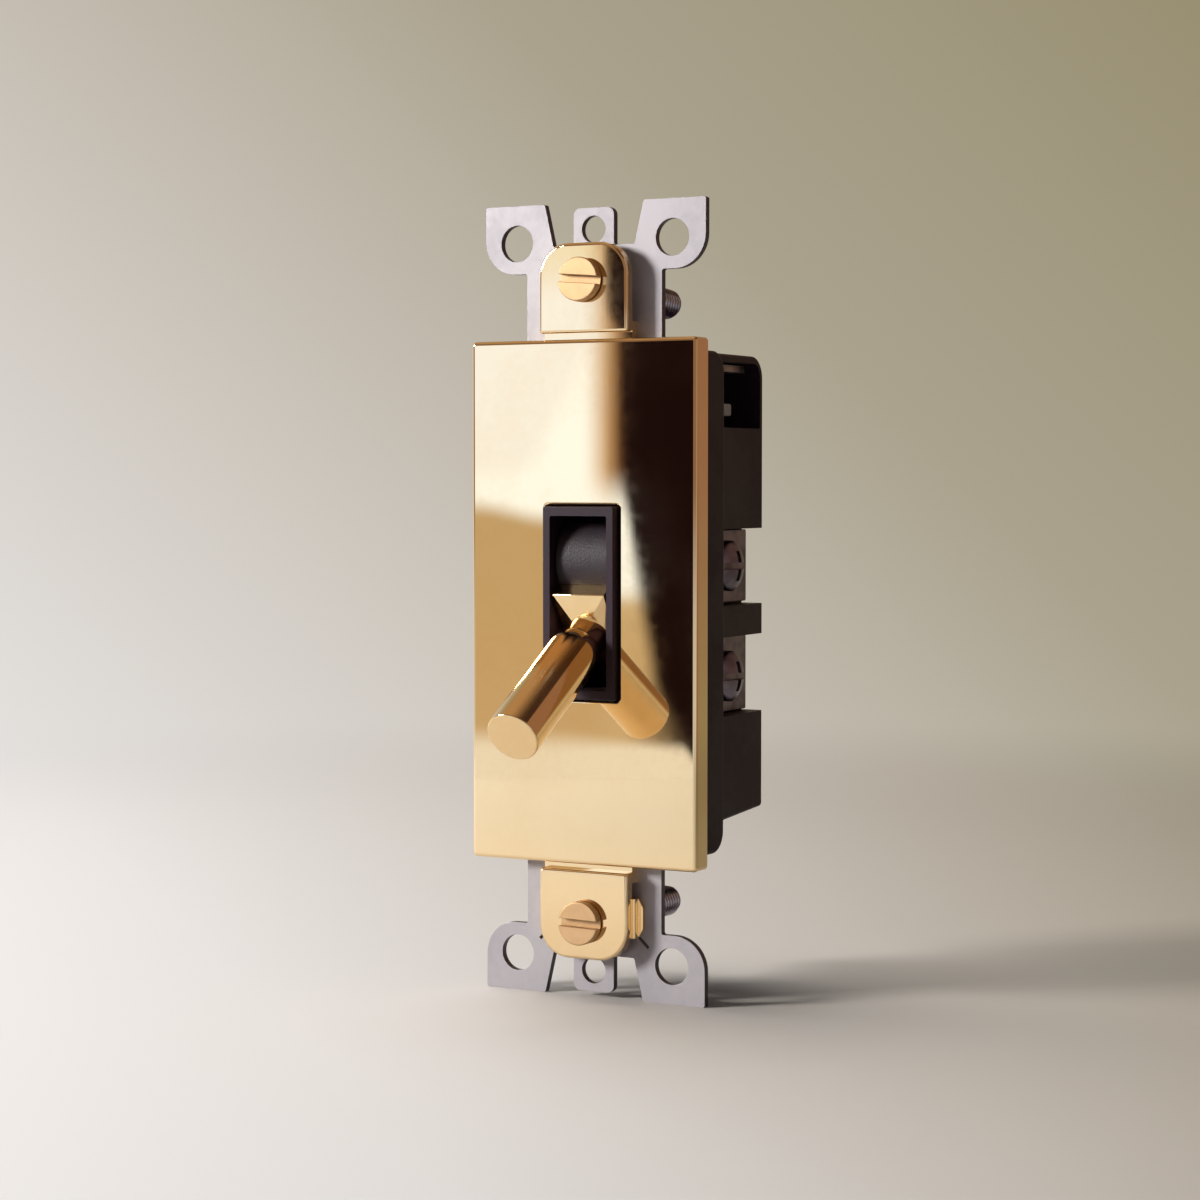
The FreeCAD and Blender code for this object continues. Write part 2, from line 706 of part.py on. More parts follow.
def make_dolly():
    """Turned brass lever on a faceted block, with a tang for the pivot pin."""
    half_w = block_width / 2
    half_h = block_height / 2
    block = box(-half_w, half_w, along(block_front), along(seat_level), -half_h, half_h)
    wires = []
    for level, w, h in ((block_front, half_w, half_h), (facet_front, facet_width / 2, facet_height / 2)):
        points = [Vec(-w, along(level), -h), Vec(w, along(level), -h), Vec(w, along(level), h),
                  Vec(-w, along(level), h)]
        wires.append(Part.makePolygon(points + points[:1]))
    facets = Part.makeLoft(wires, True, True)
    shoulder = shoulder_end - neck_end
    bend = math.sqrt(0.5)
    rise = rod_radius - neck_radius
    y_root = along(block_front - past)
    y_neck = along(neck_end)
    y_rod = along(shoulder_end)
    profile = [
        Part.LineSegment(Vec(0, y_root, 0), Vec(neck_radius, y_root, 0)),
        Part.LineSegment(Vec(neck_radius, y_root, 0), Vec(neck_radius, y_neck, 0)),
        Part.Arc(Vec(neck_radius, y_neck, 0),
                 Vec(neck_radius + rise * bend, y_rod + shoulder * bend, 0),
                 Vec(rod_radius, y_rod, 0)),
        Part.LineSegment(Vec(rod_radius, y_rod, 0), Vec(rod_radius, along(rod_end - rod_edge), 0)),
        Part.Arc(Vec(rod_radius, along(rod_end - rod_edge), 0),
                 Vec(rod_radius - rod_edge * (1 - bend), along(rod_end - rod_edge * (1 - bend)), 0),
                 Vec(rod_radius - rod_edge, along(rod_end), 0)),
        Part.LineSegment(Vec(rod_radius - rod_edge, along(rod_end), 0), Vec(0, along(rod_end), 0)),
        Part.LineSegment(Vec(0, along(rod_end), 0), Vec(0, y_root, 0)),
    ]
    wire = Part.Wire([segment.toShape() for segment in profile])
    rod = Part.Face(wire).revolve(Vec(0, 0, 0), Vec(0, 1, 0), 360)
    tang = box(-tang_width / 2, tang_width / 2, along(seat_level + tang_lap), along(-tang_back),
               -tang_height / 2, tang_height / 2)
    hole = rod_x(pivot_y, 0, pivot_pin_radius + press_gap, -half_w, half_w)
    dolly = block.fuse([facets, rod, tang]).cut(hole).removeSplitter()
    return tilted(dolly)


def make_rocker():
    """Moulded rocker: two round lobes, a web, and the guide for the spring."""
    half = rocker_width / 2
    pieces = []
    for side in (-1, 1):
        pieces.append(rod_x(along(-lobe_back), side * lobe_offset, lobe_radius, -half, half))
    web = box(-half, half, along(seat_level), along(-rocker_web_back), -lobe_offset, lobe_offset)
    guide = rod_y(0, 0, guide_radius, along(-rocker_web_back + past), along(-guide_back))
    body = pieces[0].fuse([pieces[1], web, guide])
    fit = press_gap
    seat_half = block_height / 2 + fit
    seat = box(-half - past, half + past, along(block_front + past), along(seat_level), -seat_half, seat_half)
    tang = box(-tang_width / 2 - fit, tang_width / 2 + fit, along(seat_level + past), along(-tang_back - fit),
               -tang_height / 2 - fit, tang_height / 2 + fit)
    pin = rod_x(pivot_y, 0, pivot_pin_radius + fit, -half - past, half + past)
    bore = rod_y(0, 0, spring_bore, along(-spring_seat), along(-guide_back - past))
    return tilted(body.cut([seat, tang, pin, bore]).removeSplitter())


def make_pivot_pin():
    """Steel pin through the rocker and the tang, turning in the housing."""
    half = pivot_pin_length / 2
    pin = rod_x(pivot_y, 0, pivot_pin_radius, -half, half)
    return tilted(pin.makeChamfer(pivot_pin_edge, edges_at(pin, lambda b: b.XMax - b.XMin < 1e-4)))


def spring_end():
    """Distance from the pivot at which the toggle spring's last coil meets the cradle."""
    swing = math.radians(cradle_swing)
    tilt = math.radians(dolly_tilt)
    front = cradle_pivot_y - pivot_y - (cradle_pivot_y - cradle_front) / math.cos(swing)
    reach = front / (math.cos(tilt) - math.sin(tilt) * math.tan(swing))
    outer = spring_radius + spring_wire
    return reach - outer * math.tan(tilt - swing) - running_gap


def make_spring():
    """Toggle spring in the rocker's guide, pressing on the cradle."""
    start = spring_seat + spring_wire + running_gap
    length = spring_end() - spring_wire - start
    helix = Part.makeHelix(length / spring_turns, length, spring_radius)
    section = Part.Wire([Part.Circle(Vec(spring_radius, 0, 0), Vec(0, 1, 0), spring_wire).toShape()])
    coil = Part.Wire(helix.Edges).makePipeShell([section], True, True)
    coil.rotate(Vec(0, 0, 0), Vec(1, 0, 0), -90)
    coil.translate(Vec(0, along(-start), 0))
    return tilted(coil)


def swung(shape):
    """Turn a piece drawn square to the cradle's rest position, upper end back."""
    turned = shape.copy()
    turned.rotate(Vec(0, cradle_pivot_y, 0), Vec(1, 0, 0), -cradle_swing)
    return turned


def make_cradle():
    """Contact cradle: a stiff strip that rocks on the knife edge."""
    half = cradle_width / 2
    end = cradle_length / 2
    strip = plate_xz(rectangle(half, -end, end, 1.2), cradle_front, cradle_back)
    flank = math.radians(notch_half_angle)
    root_radius = knife_radius + running_gap
    root = cradle_pivot_y - root_radius / math.sin(flank)
    mouth = cradle_back + 1
    flare = (mouth - root) * math.tan(flank)
    groove = slab_yz([(root, 0, root_radius), (mouth, -flare, 0), (mouth, flare, 0)], -half - 1, half + 1)
    return swung(strip.cut(groove))


def make_moving_contact():
    """Silver button on the back of the cradle's lower end."""
    button = rod_y(0, contact_z, contact_radius, cradle_back, cradle_back + contact_thick)
    crown = edges_at(button, flat_at_y(cradle_back + contact_thick))
    return swung(button.makeFillet(0.6, crown))


def make_fixed_contact():
    """Silver button on the lower terminal's leg."""
    button = rod_y(0, contact_z, contact_radius, contact_face, contact_leg)
    return button.makeFillet(0.3, edges_at(button, flat_at_y(contact_face)))


def make_stop():
    """Rubber pad that the cradle's upper end rests against."""
    half = cradle_width / 2
    pad = box(-half, half, stop_front, stop_front + stop_thick, stop_z - stop_height / 2,
              stop_z + stop_height / 2)
    return pad.makeFillet(0.3, edges_at(pad, flat_at_y(stop_front)))


nodes = {
    "mounting_strap": make_strap(),
    "face_plate": make_face(),
    "face_carrier": make_carrier(),
    "ground_clip": make_clip(),
    "upper_box_screw": make_box_screw(1, upper_screw_droop, upper_slot_turn),
    "lower_box_screw": make_box_screw(-1, lower_screw_droop, lower_slot_turn),
    "front_housing": make_front_housing(),
    "rear_housing": make_rear_housing(),
    "housing_rivets": make_rivets(),
    "earth_strip": make_earth_strip(),
    "insulating_tab": make_insulating_tab(),
    "upper_terminal": make_upper_terminal(),
    "lower_terminal": make_lower_terminal(),
    "upper_terminal_screw": make_terminal_screw(upper_screw_z),
    "lower_terminal_screw": make_terminal_screw(lower_screw_z),
    "fixed_contact": make_fixed_contact(),
    "stop_pad": make_stop(),
    "dolly_lever": make_dolly(),
    "rocker_drum": make_rocker(),
    "pivot_pin": make_pivot_pin(),
    "toggle_spring": make_spring(),
    "contact_cradle": make_cradle(),
    "moving_contact": make_moving_contact(),
}

for name, shape in nodes.items():
    shape.exportStep("parts/" + name + ".step")
    print(name, "solids", len(shape.Solids), "volume", round(shape.Volume, 2), "valid", shape.isValid())
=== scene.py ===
import math

import bmesh
import bpy
import numpy as np
from mathutils import Matrix, Vector


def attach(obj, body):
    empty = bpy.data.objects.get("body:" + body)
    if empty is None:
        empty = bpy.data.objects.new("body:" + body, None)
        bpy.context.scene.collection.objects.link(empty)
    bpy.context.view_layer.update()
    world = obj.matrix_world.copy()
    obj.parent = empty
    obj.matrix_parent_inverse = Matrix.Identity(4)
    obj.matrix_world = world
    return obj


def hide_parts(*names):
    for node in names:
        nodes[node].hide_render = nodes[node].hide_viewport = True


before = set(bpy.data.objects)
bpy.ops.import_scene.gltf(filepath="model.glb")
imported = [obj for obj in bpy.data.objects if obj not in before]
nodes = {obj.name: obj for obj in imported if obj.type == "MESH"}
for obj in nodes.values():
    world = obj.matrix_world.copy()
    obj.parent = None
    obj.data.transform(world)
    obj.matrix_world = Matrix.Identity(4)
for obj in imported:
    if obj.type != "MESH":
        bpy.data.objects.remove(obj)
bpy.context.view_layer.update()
mm = 0.001
print("frame loaded:", len(nodes), "nodes")


# Surfaces

# merging distances are in metres, angles in degrees
meshSizes = {"merge": 1e-7, "nodeMerge": 2e-6, "nodeFlatness": 0.6, "nodeSharp": 30, "bevelFrom": 35}


def gridFaces(rings, count, joined=False, closed=True):
    # quads between each ring and the next; joined also takes the last ring to the first, and a ring that
    # isn't closed has no quad from its last point to its first
    rows = rings if joined else rings - 1
    here = np.arange(rows)[:, None] * count
    ahead = ((np.arange(rows)[:, None] + 1) % rings) * count
    at = np.arange(count if closed else count - 1)[None, :]
    after = (at + 1) % count
    quads = np.stack([here + at, here + after, ahead + after, ahead + at], axis=-1)
    return quads.reshape(-1, 4).tolist()


def closedFaces(rings, count):
    # the quads between the rings, and one face over each end
    last = (rings - 1) * count
    return gridFaces(rings, count) + [list(range(count))[::-1], list(range(last, last + count))]


def makePiece(name, points, faces, sharpAngle=38):
    # points are in millimetres; doubles are merged and the faces turned outwards
    mesh = bpy.data.meshes.new(name)
    mesh.from_pydata((np.asarray(points, float).reshape(-1, 3) * mm).tolist(), [], faces)
    tidyMesh(mesh)
    return addObject(name, mesh, sharpAngle)


def tidyMesh(mesh):
    work = bmesh.new()
    work.from_mesh(mesh)
    bmesh.ops.remove_doubles(work, verts=work.verts, dist=meshSizes["merge"])
    bmesh.ops.recalc_face_normals(work, faces=work.faces)
    work.to_mesh(mesh)
    work.free()


def shade(mesh, sharpAngle):
    mesh.shade_smooth()
    mesh.set_sharp_from_angle(angle=math.radians(sharpAngle))


def addObject(name, mesh, sharpAngle):
    shade(mesh, sharpAngle)
    piece = bpy.data.objects.new(name, mesh)
    bpy.context.scene.collection.objects.link(piece)
    return piece


def outline(halfWidth, low, high, radii, perCorner=8, perSide=4):
    # closed outline of a rectangle in X and Z: four corner arcs, counter-clockwise from lower left, and the
    # straight sides between them; radii are for lower left, lower right, upper right, upper left
    radii = np.asarray(radii, float)
    signX = np.array([-1, 1, 1, -1])
    cornerX = signX * halfWidth
    cornerZ = np.array([low, low, high, high])
    inwardZ = np.array([1, 1, -1, -1])
    start = np.radians([180, 270, 0, 90])
    angle = start[:, None] + np.linspace(0, math.pi / 2, perCorner + 1)[None, :]
    centreX = cornerX - signX * radii
    centreZ = cornerZ + inwardZ * radii
    arcs = np.stack([centreX[:, None] + radii[:, None] * np.cos(angle),
                     centreZ[:, None] + radii[:, None] * np.sin(angle)], axis=-1)
    ends = arcs[:, -1]
    starts = np.roll(arcs[:, 0], -1, axis=0)
    share = np.linspace(0, 1, perSide + 1)[1:-1]
    sides = ends[:, None] + (starts - ends)[:, None] * share[None, :, None]
    return np.concatenate([arcs, sides], axis=1).reshape(-1, 2)


def ringAt(flat, y):
    # an outline in X and Z laid at the depth y
    return np.stack([flat[:, 0], np.full(len(flat), y), flat[:, 1]], axis=-1)


def quarterTurn(radius, steps):
    # how far in and how far along the points of a quarter circle lie, from the side to the face
    angle = np.linspace(0, math.pi / 2, steps + 1)
    return np.stack([radius * (1 - np.cos(angle)), radius * (1 - np.sin(angle))], axis=-1)


def roundAngles(segments):
    # equal steps once round, without the last one, which is the first again
    return np.linspace(0, 2 * math.pi, segments, endpoint=False)


def spun(radius, height):
    # radius[row, step] carried round the Z axis at height[row]: r cos a, r sin a, h; both ends are closed
    rows, segments = radius.shape
    angle = roundAngles(segments)
    rings = np.stack([radius * np.cos(angle), radius * np.sin(angle),
                      np.repeat(height[:, None], segments, axis=1)], axis=-1)
    return rings.reshape(-1, 3), closedFaces(rows, segments)


def lathe(profile, segments):
    # each (radius, height) of the profile carried round the Z axis
    profile = np.asarray(profile, float)
    return spun(np.repeat(profile[:, :1], segments, axis=1), profile[:, 1])


def turned(points, matrix):
    # the points moved by a 4 x 4 matrix given in millimetres
    matrix = np.array(matrix)
    return np.asarray(points).reshape(-1, 3) @ matrix[:3, :3].T + matrix[:3, 3]


def boxMesh(lowCorner, highCorner):
    # the eight corners and six faces of a block
    low, high = np.asarray(lowCorner, float), np.asarray(highCorner, float)
    pick = np.array([[0, 0, 0], [1, 0, 0], [1, 1, 0], [0, 1, 0], [0, 0, 1], [1, 0, 1], [1, 1, 1], [0, 1, 1]])
    points = low + pick * (high - low)
    faces = [[0, 3, 2, 1], [4, 5, 6, 7], [0, 1, 5, 4], [1, 2, 6, 5], [2, 3, 7, 6], [3, 0, 4, 7]]
    return points, faces


def prism(section, reach):
    # a section in Y and Z swept along X, as far to the left as to the right
    ends = [np.column_stack([np.full(len(section), x), section]) for x in (-reach, reach)]
    return np.concatenate(ends), closedFaces(2, len(section))


def settle(piece):
    # the piece keeps what its modifiers make of it, apart from evened normals
    for step in list(piece.modifiers):
        if step.type == "WEIGHTED_NORMAL":
            piece.modifiers.remove(step)
    bpy.context.view_layer.update()
    graph = bpy.context.evaluated_depsgraph_get()
    mesh = bpy.data.meshes.new_from_object(piece.evaluated_get(graph))
    old = piece.data
    piece.modifiers.clear()
    piece.data = mesh
    bpy.data.meshes.remove(old)


def combine(piece, tool, operation, sharpAngle=38):
    # the tool's volume is joined to the piece or taken out of it, and the tool is gone
    step = piece.modifiers.new("combine", "BOOLEAN")
    step.operation = operation
    step.solver = "EXACT"
    step.object = tool
    settle(piece)
    bpy.data.objects.remove(tool)
    tidyMesh(piece.data)
    shade(piece.data, sharpAngle)


def addShell(piece, other):
    # the other piece's closed shell is added to this one's mesh as it is
    work = bmesh.new()
    work.from_mesh(piece.data)
    work.from_mesh(other.data)
    work.to_mesh(piece.data)
    work.free()
    bpy.data.objects.remove(other)


def bevelled(piece, width, segments):
    step = piece.modifiers.new("softEdges", "BEVEL")
    step.width = width * mm
    step.segments = segments
    step.limit_method = "ANGLE"
    step.angle_limit = math.radians(meshSizes["bevelFrom"])
    step.use_clamp_overlap = True
    step.miter_outer = "MITER_ARC"
    evenNormals(piece)


def evenNormals(piece):
    # large flat faces keep their own direction right up to a rounded edge
    step = piece.modifiers.new("evenNormals", "WEIGHTED_NORMAL")
    step.mode = "FACE_AREA"
    step.weight = 80
    step.keep_sharp = True


def softened(node, name, width, segments):
    # copy of a solid's mesh with its triangles merged into flat faces and its hard edges broken
    mesh = nodes[node].data.copy()
    mesh.name = name
    work = bmesh.new()
    work.from_mesh(mesh)
    bmesh.ops.remove_doubles(work, verts=work.verts, dist=meshSizes["nodeMerge"])
    bmesh.ops.dissolve_limit(work, angle_limit=math.radians(meshSizes["nodeFlatness"]), verts=work.verts,
                             edges=work.edges)
    work.to_mesh(mesh)
    work.free()
    piece = addObject(name, mesh, meshSizes["nodeSharp"])
    bevelled(piece, width, segments)
    return piece


def finishPiece(piece, node, body, material):
    # the piece stands for the node, rides on the body and has the material
    piece.data.materials.clear()
    piece.data.materials.append(material)
    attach(piece, body)
    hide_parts(node)


# Node helpers for materials

class Graph:
    # short names for adding and joining shader nodes
    def __init__(self, tree):
        self.tree = tree

    def put(self, socket, value):
        # another node's output is linked to the socket, and anything else becomes its own value
        if isinstance(value, bpy.types.NodeSocket):
            self.tree.links.new(value, socket)
        else:
            socket.default_value = value

    def fill(self, node, values):
        for key, value in values.items():
            self.put(node.inputs[key], value)

    def add(self, kind, values=None, **settings):
        # values are for the node's inputs, by name or number; settings are its own choices
        node = self.tree.nodes.new(kind)
        for key, value in settings.items():
            setattr(node, key, value)
        self.fill(node, values or {})
        return node

    def group(self, tree, values):
        return self.add("ShaderNodeGroup", values, node_tree=tree).outputs

    def math(self, operation, *values):
        return self.add("ShaderNodeMath", dict(enumerate(values)), operation=operation).outputs[0]

    def vector(self, operation, *values):
        # output 0 is a vector and output 1 a number
        return self.add("ShaderNodeVectorMath", dict(enumerate(values)), operation=operation).outputs

    def mix(self, share, first, second):
        return self.add("ShaderNodeMix", {0: share, 6: first, 7: second}, data_type="RGBA").outputs[2]

    def ramp(self, value, band, outcome=(0.0, 1.0), smooth=True):
        # carries the value from the band's two ends to the outcome's, and holds it beyond them
        values = dict(enumerate((value, *band, *outcome)))
        curve = "SMOOTHSTEP" if smooth else "LINEAR"
        return self.add("ShaderNodeMapRange", values, interpolation_type=curve).outputs[0]

    def noise(self, place, size, detail, roughness=0.5):
        values = {"Vector": place, "Scale": size, "Detail": detail, "Roughness": roughness}
        return self.add("ShaderNodeTexNoise", values).outputs["Fac"]

    def place(self, kind="Object"):
        return self.add("ShaderNodeTexCoord").outputs[kind]

    def parts(self, place):
        return self.add("ShaderNodeSeparateXYZ", {0: place}).outputs

    def fromAxis(self, place):
        # distance from the local Y axis: the root of x squared plus z squared
        x, y, z = self.parts(place)
        return self.math("SQRT", self.math("ADD", self.math("MULTIPLY", x, x), self.math("MULTIPLY", z, z)))


def newGroup(name, inputs, outputs):
    tree = bpy.data.node_groups.new(name, "ShaderNodeTree")
    for label, kind in inputs.items():
        tree.interface.new_socket(label, in_out="INPUT", socket_type="NodeSocket" + kind)
    for label in outputs:
        tree.interface.new_socket(label, in_out="OUTPUT", socket_type="NodeSocketFloat")
    graph = Graph(tree)
    return graph, graph.add("NodeGroupInput").outputs, graph.add("NodeGroupOutput")


textureSizes = {
    "patchShare": 0.75, "speckSize": 900.0, "markBand": (0.38, 0.66),
    "coarseShare": 0.6, "fineLines": 3.1,
    "cloudSize": 140.0, "cloudBand": (0.45, 0.72), "dustSize": 2600.0, "dustBand": (0.62, 0.72),
    "wobbleSize": 700.0, "wobble": 3.0, "fade": ((0.3, 0.7), (0.3, 1.0))}


def smudgeGroup(sizes):
    # handling marks: broad soft patches and small specks, between 0 and 1
    graph, source, target = newGroup("handlingMarks", {"Place": "Vector", "Size": "Float"}, ["Marks"])
    broad = graph.noise(source["Place"], source["Size"], 4.0, 0.6)
    fine = graph.noise(source["Place"], sizes["speckSize"], 2.0, 0.6)
    both = graph.math("ADD", graph.math("MULTIPLY", broad, sizes["patchShare"]),
                      graph.math("MULTIPLY", fine, 1 - sizes["patchShare"]))
    graph.fill(target, {"Marks": graph.ramp(both, sizes["markBand"])})
    return graph.tree


def brushGroup(sizes):
    # fine parallel lines along one axis: noise stretched along the line direction
    graph, source, target = newGroup("brushLines", {"Place": "Vector", "Stretch": "Vector"}, ["Lines"])
    stretched = graph.vector("MULTIPLY", source["Place"], source["Stretch"])[0]
    coarse = graph.noise(stretched, 1.0, 2.0)
    fine = graph.noise(stretched, sizes["fineLines"], 2.0)
    lines = graph.math("ADD", graph.math("MULTIPLY", coarse, sizes["coarseShare"]),
                       graph.math("MULTIPLY", fine, 1 - sizes["coarseShare"]))
    graph.fill(target, {"Lines": lines})
    return graph.tree


def mouldGroup(sizes):
    # fine spark-eroded texture of a moulded face, with a little dust
    graph, source, target = newGroup("mouldTexture", {"Place": "Vector", "Size": "Float"}, ["Height", "Dust"])
    grain = graph.noise(source["Place"], source["Size"], 3.0, 0.65)
    cloud = graph.noise(source["Place"], sizes["cloudSize"], 4.0, 0.6)
    speck = graph.noise(source["Place"], sizes["dustSize"], 1.0)
    dust = graph.math("MULTIPLY", graph.ramp(cloud, sizes["cloudBand"]), graph.ramp(speck, sizes["dustBand"]))
    graph.fill(target, {"Height": grain, "Dust": dust})
    return graph.tree


def ringGroup(sizes):
    # turning marks: rings about the local Y axis, a sine of the distance from it, that fade at random
    graph, source, target = newGroup("turningMarks", {"Place": "Vector", "Rings": "Float"}, ["Marks"])
    wobble = graph.noise(source["Place"], sizes["wobbleSize"], 2.0)
    phase = graph.math("MULTIPLY_ADD", graph.fromAxis(source["Place"]), source["Rings"],
                       graph.math("MULTIPLY", wobble, sizes["wobble"]))
    wave = graph.math("MULTIPLY_ADD", graph.math("SINE", phase), 0.5, 0.5)
    graph.fill(target, {"Marks": graph.math("MULTIPLY", wave, graph.ramp(wobble, *sizes["fade"]))})
    return graph.tree


handlingMarks = smudgeGroup(textureSizes)
brushLines = brushGroup(textureSizes)
mouldTexture = mouldGroup(textureSizes)
turningMarks = ringGroup(textureSizes)


def newMaterial(name, kind="ShaderNodeBsdfPrincipled"):
    # a material with one shader joined to its output
    material = bpy.data.materials.new(name)
    material.use_nodes = True
    graph = Graph(material.node_tree)
    graph.tree.nodes.clear()
    shader = graph.add(kind)
    graph.add("ShaderNodeOutputMaterial", {0: shader.outputs[0]})
    return material, graph, shader


def bump(graph, shader, height, look):
    values = {"Height": height, "Strength": look["bump"], "Distance": look["depth"]}
    relief = graph.add("ShaderNodeBump", values)
    graph.put(shader.inputs["Normal"], relief.outputs[0])


def metal(name, look):
    # one metal finish: two tones under handling marks, and fine lines in the height
    material, graph, shader = newMaterial(name)
    place = graph.place()
    marks = graph.group(handlingMarks, {"Place": place, "Size": look["markSize"]})["Marks"]
    lines = graph.group(brushLines, {"Place": place, "Stretch": look["stretch"]})["Lines"]
    tone = graph.mix(marks, look["tone"], look["worn"])
    if "wallShade" in look:
        # stamped sheet, with painted shade: the walls cut through it are darker than its two faces
        facing = graph.math("ABSOLUTE", graph.parts(graph.place("Normal"))[1])
        tone = graph.mix(graph.ramp(facing, (0.25, 0.75), (1.0, 0.0)), tone, look["wallShade"])
    rough = graph.math("MULTIPLY_ADD", lines, look["lineRoughness"],
                       graph.ramp(marks, (0.0, 1.0), look["roughness"]))
    graph.fill(shader, {"Base Color": tone, "Metallic": look.get("metallic", 1.0), "Roughness": rough})
    if "waves" in look:
        wave = graph.noise(place, look["waveSize"], 1.0, 0.4)
        lines = graph.math("MULTIPLY_ADD", wave, look["waves"], lines)
    bump(graph, shader, lines, look)
    return material


def plastic(name, look):
    # a moulded plastic: fine texture in the height, dust and paler patches in the colour
    material, graph, shader = newMaterial(name)
    place = graph.place()
    mould = graph.group(mouldTexture, {"Place": place, "Size": look["grain"]})
    marks = graph.group(handlingMarks, {"Place": place, "Size": look["markSize"]})["Marks"]
    tone = graph.mix(marks, look["tone"], look["worn"])
    tone = graph.mix(graph.math("MULTIPLY", mould["Dust"], look["dustShare"]), tone, look["dust"])
    rough = graph.ramp(marks, (0.0, 1.0), look["roughness"])
    graph.fill(shader, {"Base Color": tone, "Roughness": rough, "IOR": look["ior"]})
    bump(graph, shader, mould["Height"], look)
    return material


polishedBrass = metal("polishedBrass", {
    "tone": (0.94, 0.715, 0.42, 1), "worn": (0.92, 0.68, 0.385, 1), "markSize": 70.0,
    "roughness": (0.018, 0.040), "lineRoughness": 0.012, "stretch": (900.0, 900.0, 60.0),
    "waves": 5.0, "waveSize": 40.0, "bump": 0.007, "depth": 0.00003})
turnedBrass = metal("turnedBrass", {
    "tone": (0.92, 0.68, 0.37, 1), "worn": (0.89, 0.64, 0.335, 1), "markSize": 90.0,
    "roughness": (0.08, 0.12), "lineRoughness": 0.03, "stretch": (900.0, 900.0, 900.0),
    "bump": 0.01, "depth": 0.00002})
strapSteel = metal("platedSteel", {
    "metallic": 0.15, "wallShade": (0.10, 0.085, 0.095, 1), "tone": (0.53, 0.50, 0.515, 1),
    "worn": (0.45, 0.425, 0.445, 1), "markSize": 90.0, "roughness": (0.34, 0.44),
    "lineRoughness": 0.10, "stretch": (2600.0, 2600.0, 1500.0), "bump": 0.25, "depth": 0.00002})
terminalMetal = metal("pewterPlate", {
    "tone": (0.235, 0.205, 0.262, 1), "worn": (0.160, 0.138, 0.180, 1), "markSize": 220.0,
    "roughness": (0.30, 0.42), "lineRoughness": 0.12, "stretch": (2500.0, 400.0, 2500.0),
    "bump": 0.2, "depth": 0.00002})
rivetSteel = metal("plainSteel", {
    "tone": (0.45, 0.43, 0.44, 1), "worn": (0.34, 0.32, 0.33, 1), "markSize": 200.0,
    "roughness": (0.28, 0.42), "lineRoughness": 0.10, "stretch": (2500.0, 300.0, 2500.0),
    "bump": 0.2, "depth": 0.00002})
springSteel = metal("springWire", {
    "tone": (0.38, 0.38, 0.40, 1), "worn": (0.28, 0.27, 0.28, 1), "markSize": 400.0,
    "roughness": (0.22, 0.35), "lineRoughness": 0.05, "stretch": (1500.0, 1500.0, 1500.0),
    "bump": 0.1, "depth": 0.00001})
contactCopper = metal("stampedCopper", {
    "tone": (0.74, 0.42, 0.26, 1), "worn": (0.50, 0.26, 0.17, 1), "markSize": 240.0,
    "roughness": (0.22, 0.38), "lineRoughness": 0.10, "stretch": (2500.0, 2500.0, 200.0),
    "bump": 0.2, "depth": 0.00002})
contactSilver = metal("contactSilver", {
    "tone": (0.82, 0.80, 0.77, 1), "worn": (0.62, 0.58, 0.52, 1), "markSize": 500.0,
    "roughness": (0.20, 0.34), "lineRoughness": 0.08, "stretch": (2000.0, 2000.0, 2000.0),
    "bump": 0.1, "depth": 0.00001})
housingPlastic = plastic("housingPlastic", {
    "tone": (0.0250, 0.0108, 0.0188, 1), "worn": (0.0300, 0.0140, 0.0230, 1), "dust": (0.20, 0.17, 0.17, 1),
    "dustShare": 0.08, "grain": 5200.0, "markSize": 60.0, "roughness": (0.46, 0.56), "ior": 1.33,
    "bump": 0.45, "depth": 0.00005})
rockerPlastic = plastic("rockerPlastic", {
    "tone": (0.0210, 0.0125, 0.0175, 1), "worn": (0.0260, 0.0160, 0.0215, 1), "dust": (0.22, 0.19, 0.20, 1),
    "dustShare": 0.10, "grain": 4200.0, "markSize": 120.0, "roughness": (0.50, 0.58), "ior": 1.46,
    "bump": 0.9, "depth": 0.00009})
creamNylon = plastic("creamNylon", {
    "tone": (0.72, 0.67, 0.53, 1), "worn": (0.62, 0.56, 0.43, 1), "dust": (0.30, 0.26, 0.20, 1),
    "dustShare": 0.2, "grain": 5000.0, "markSize": 200.0, "roughness": (0.36, 0.48), "ior": 1.50,
    "bump": 0.12, "depth": 0.00003})
stopRubber = plastic("stopRubber", {
    "tone": (0.020, 0.020, 0.020, 1), "worn": (0.035, 0.033, 0.032, 1), "dust": (0.2, 0.18, 0.16, 1),
    "dustShare": 0.3, "grain": 4000.0, "markSize": 200.0, "roughness": (0.65, 0.80), "ior": 1.50,
    "bump": 0.3, "depth": 0.00004})

# satin head ahead of the change in depth, steel-grey shank behind it, and painted shade, nearly black, in the
# thread's roots
screwLook = {
    "head": (0.55, 0.365, 0.20, 1), "headWorn": (0.50, 0.33, 0.175, 1), "headRoughness": 0.54,
    "shank": (0.50, 0.46, 0.51, 1), "shankWorn": (0.36, 0.33, 0.37, 1), "shankRoughness": 0.26,
    "root": (0.030, 0.022, 0.026, 1), "rootShadeBand": (0.00174, 0.00196), "change": (-0.0042, -0.0036),
    "rings": 42000.0, "ringRoughness": 0.05, "markSize": 260.0, "bump": 0.10, "depth": 0.00002}


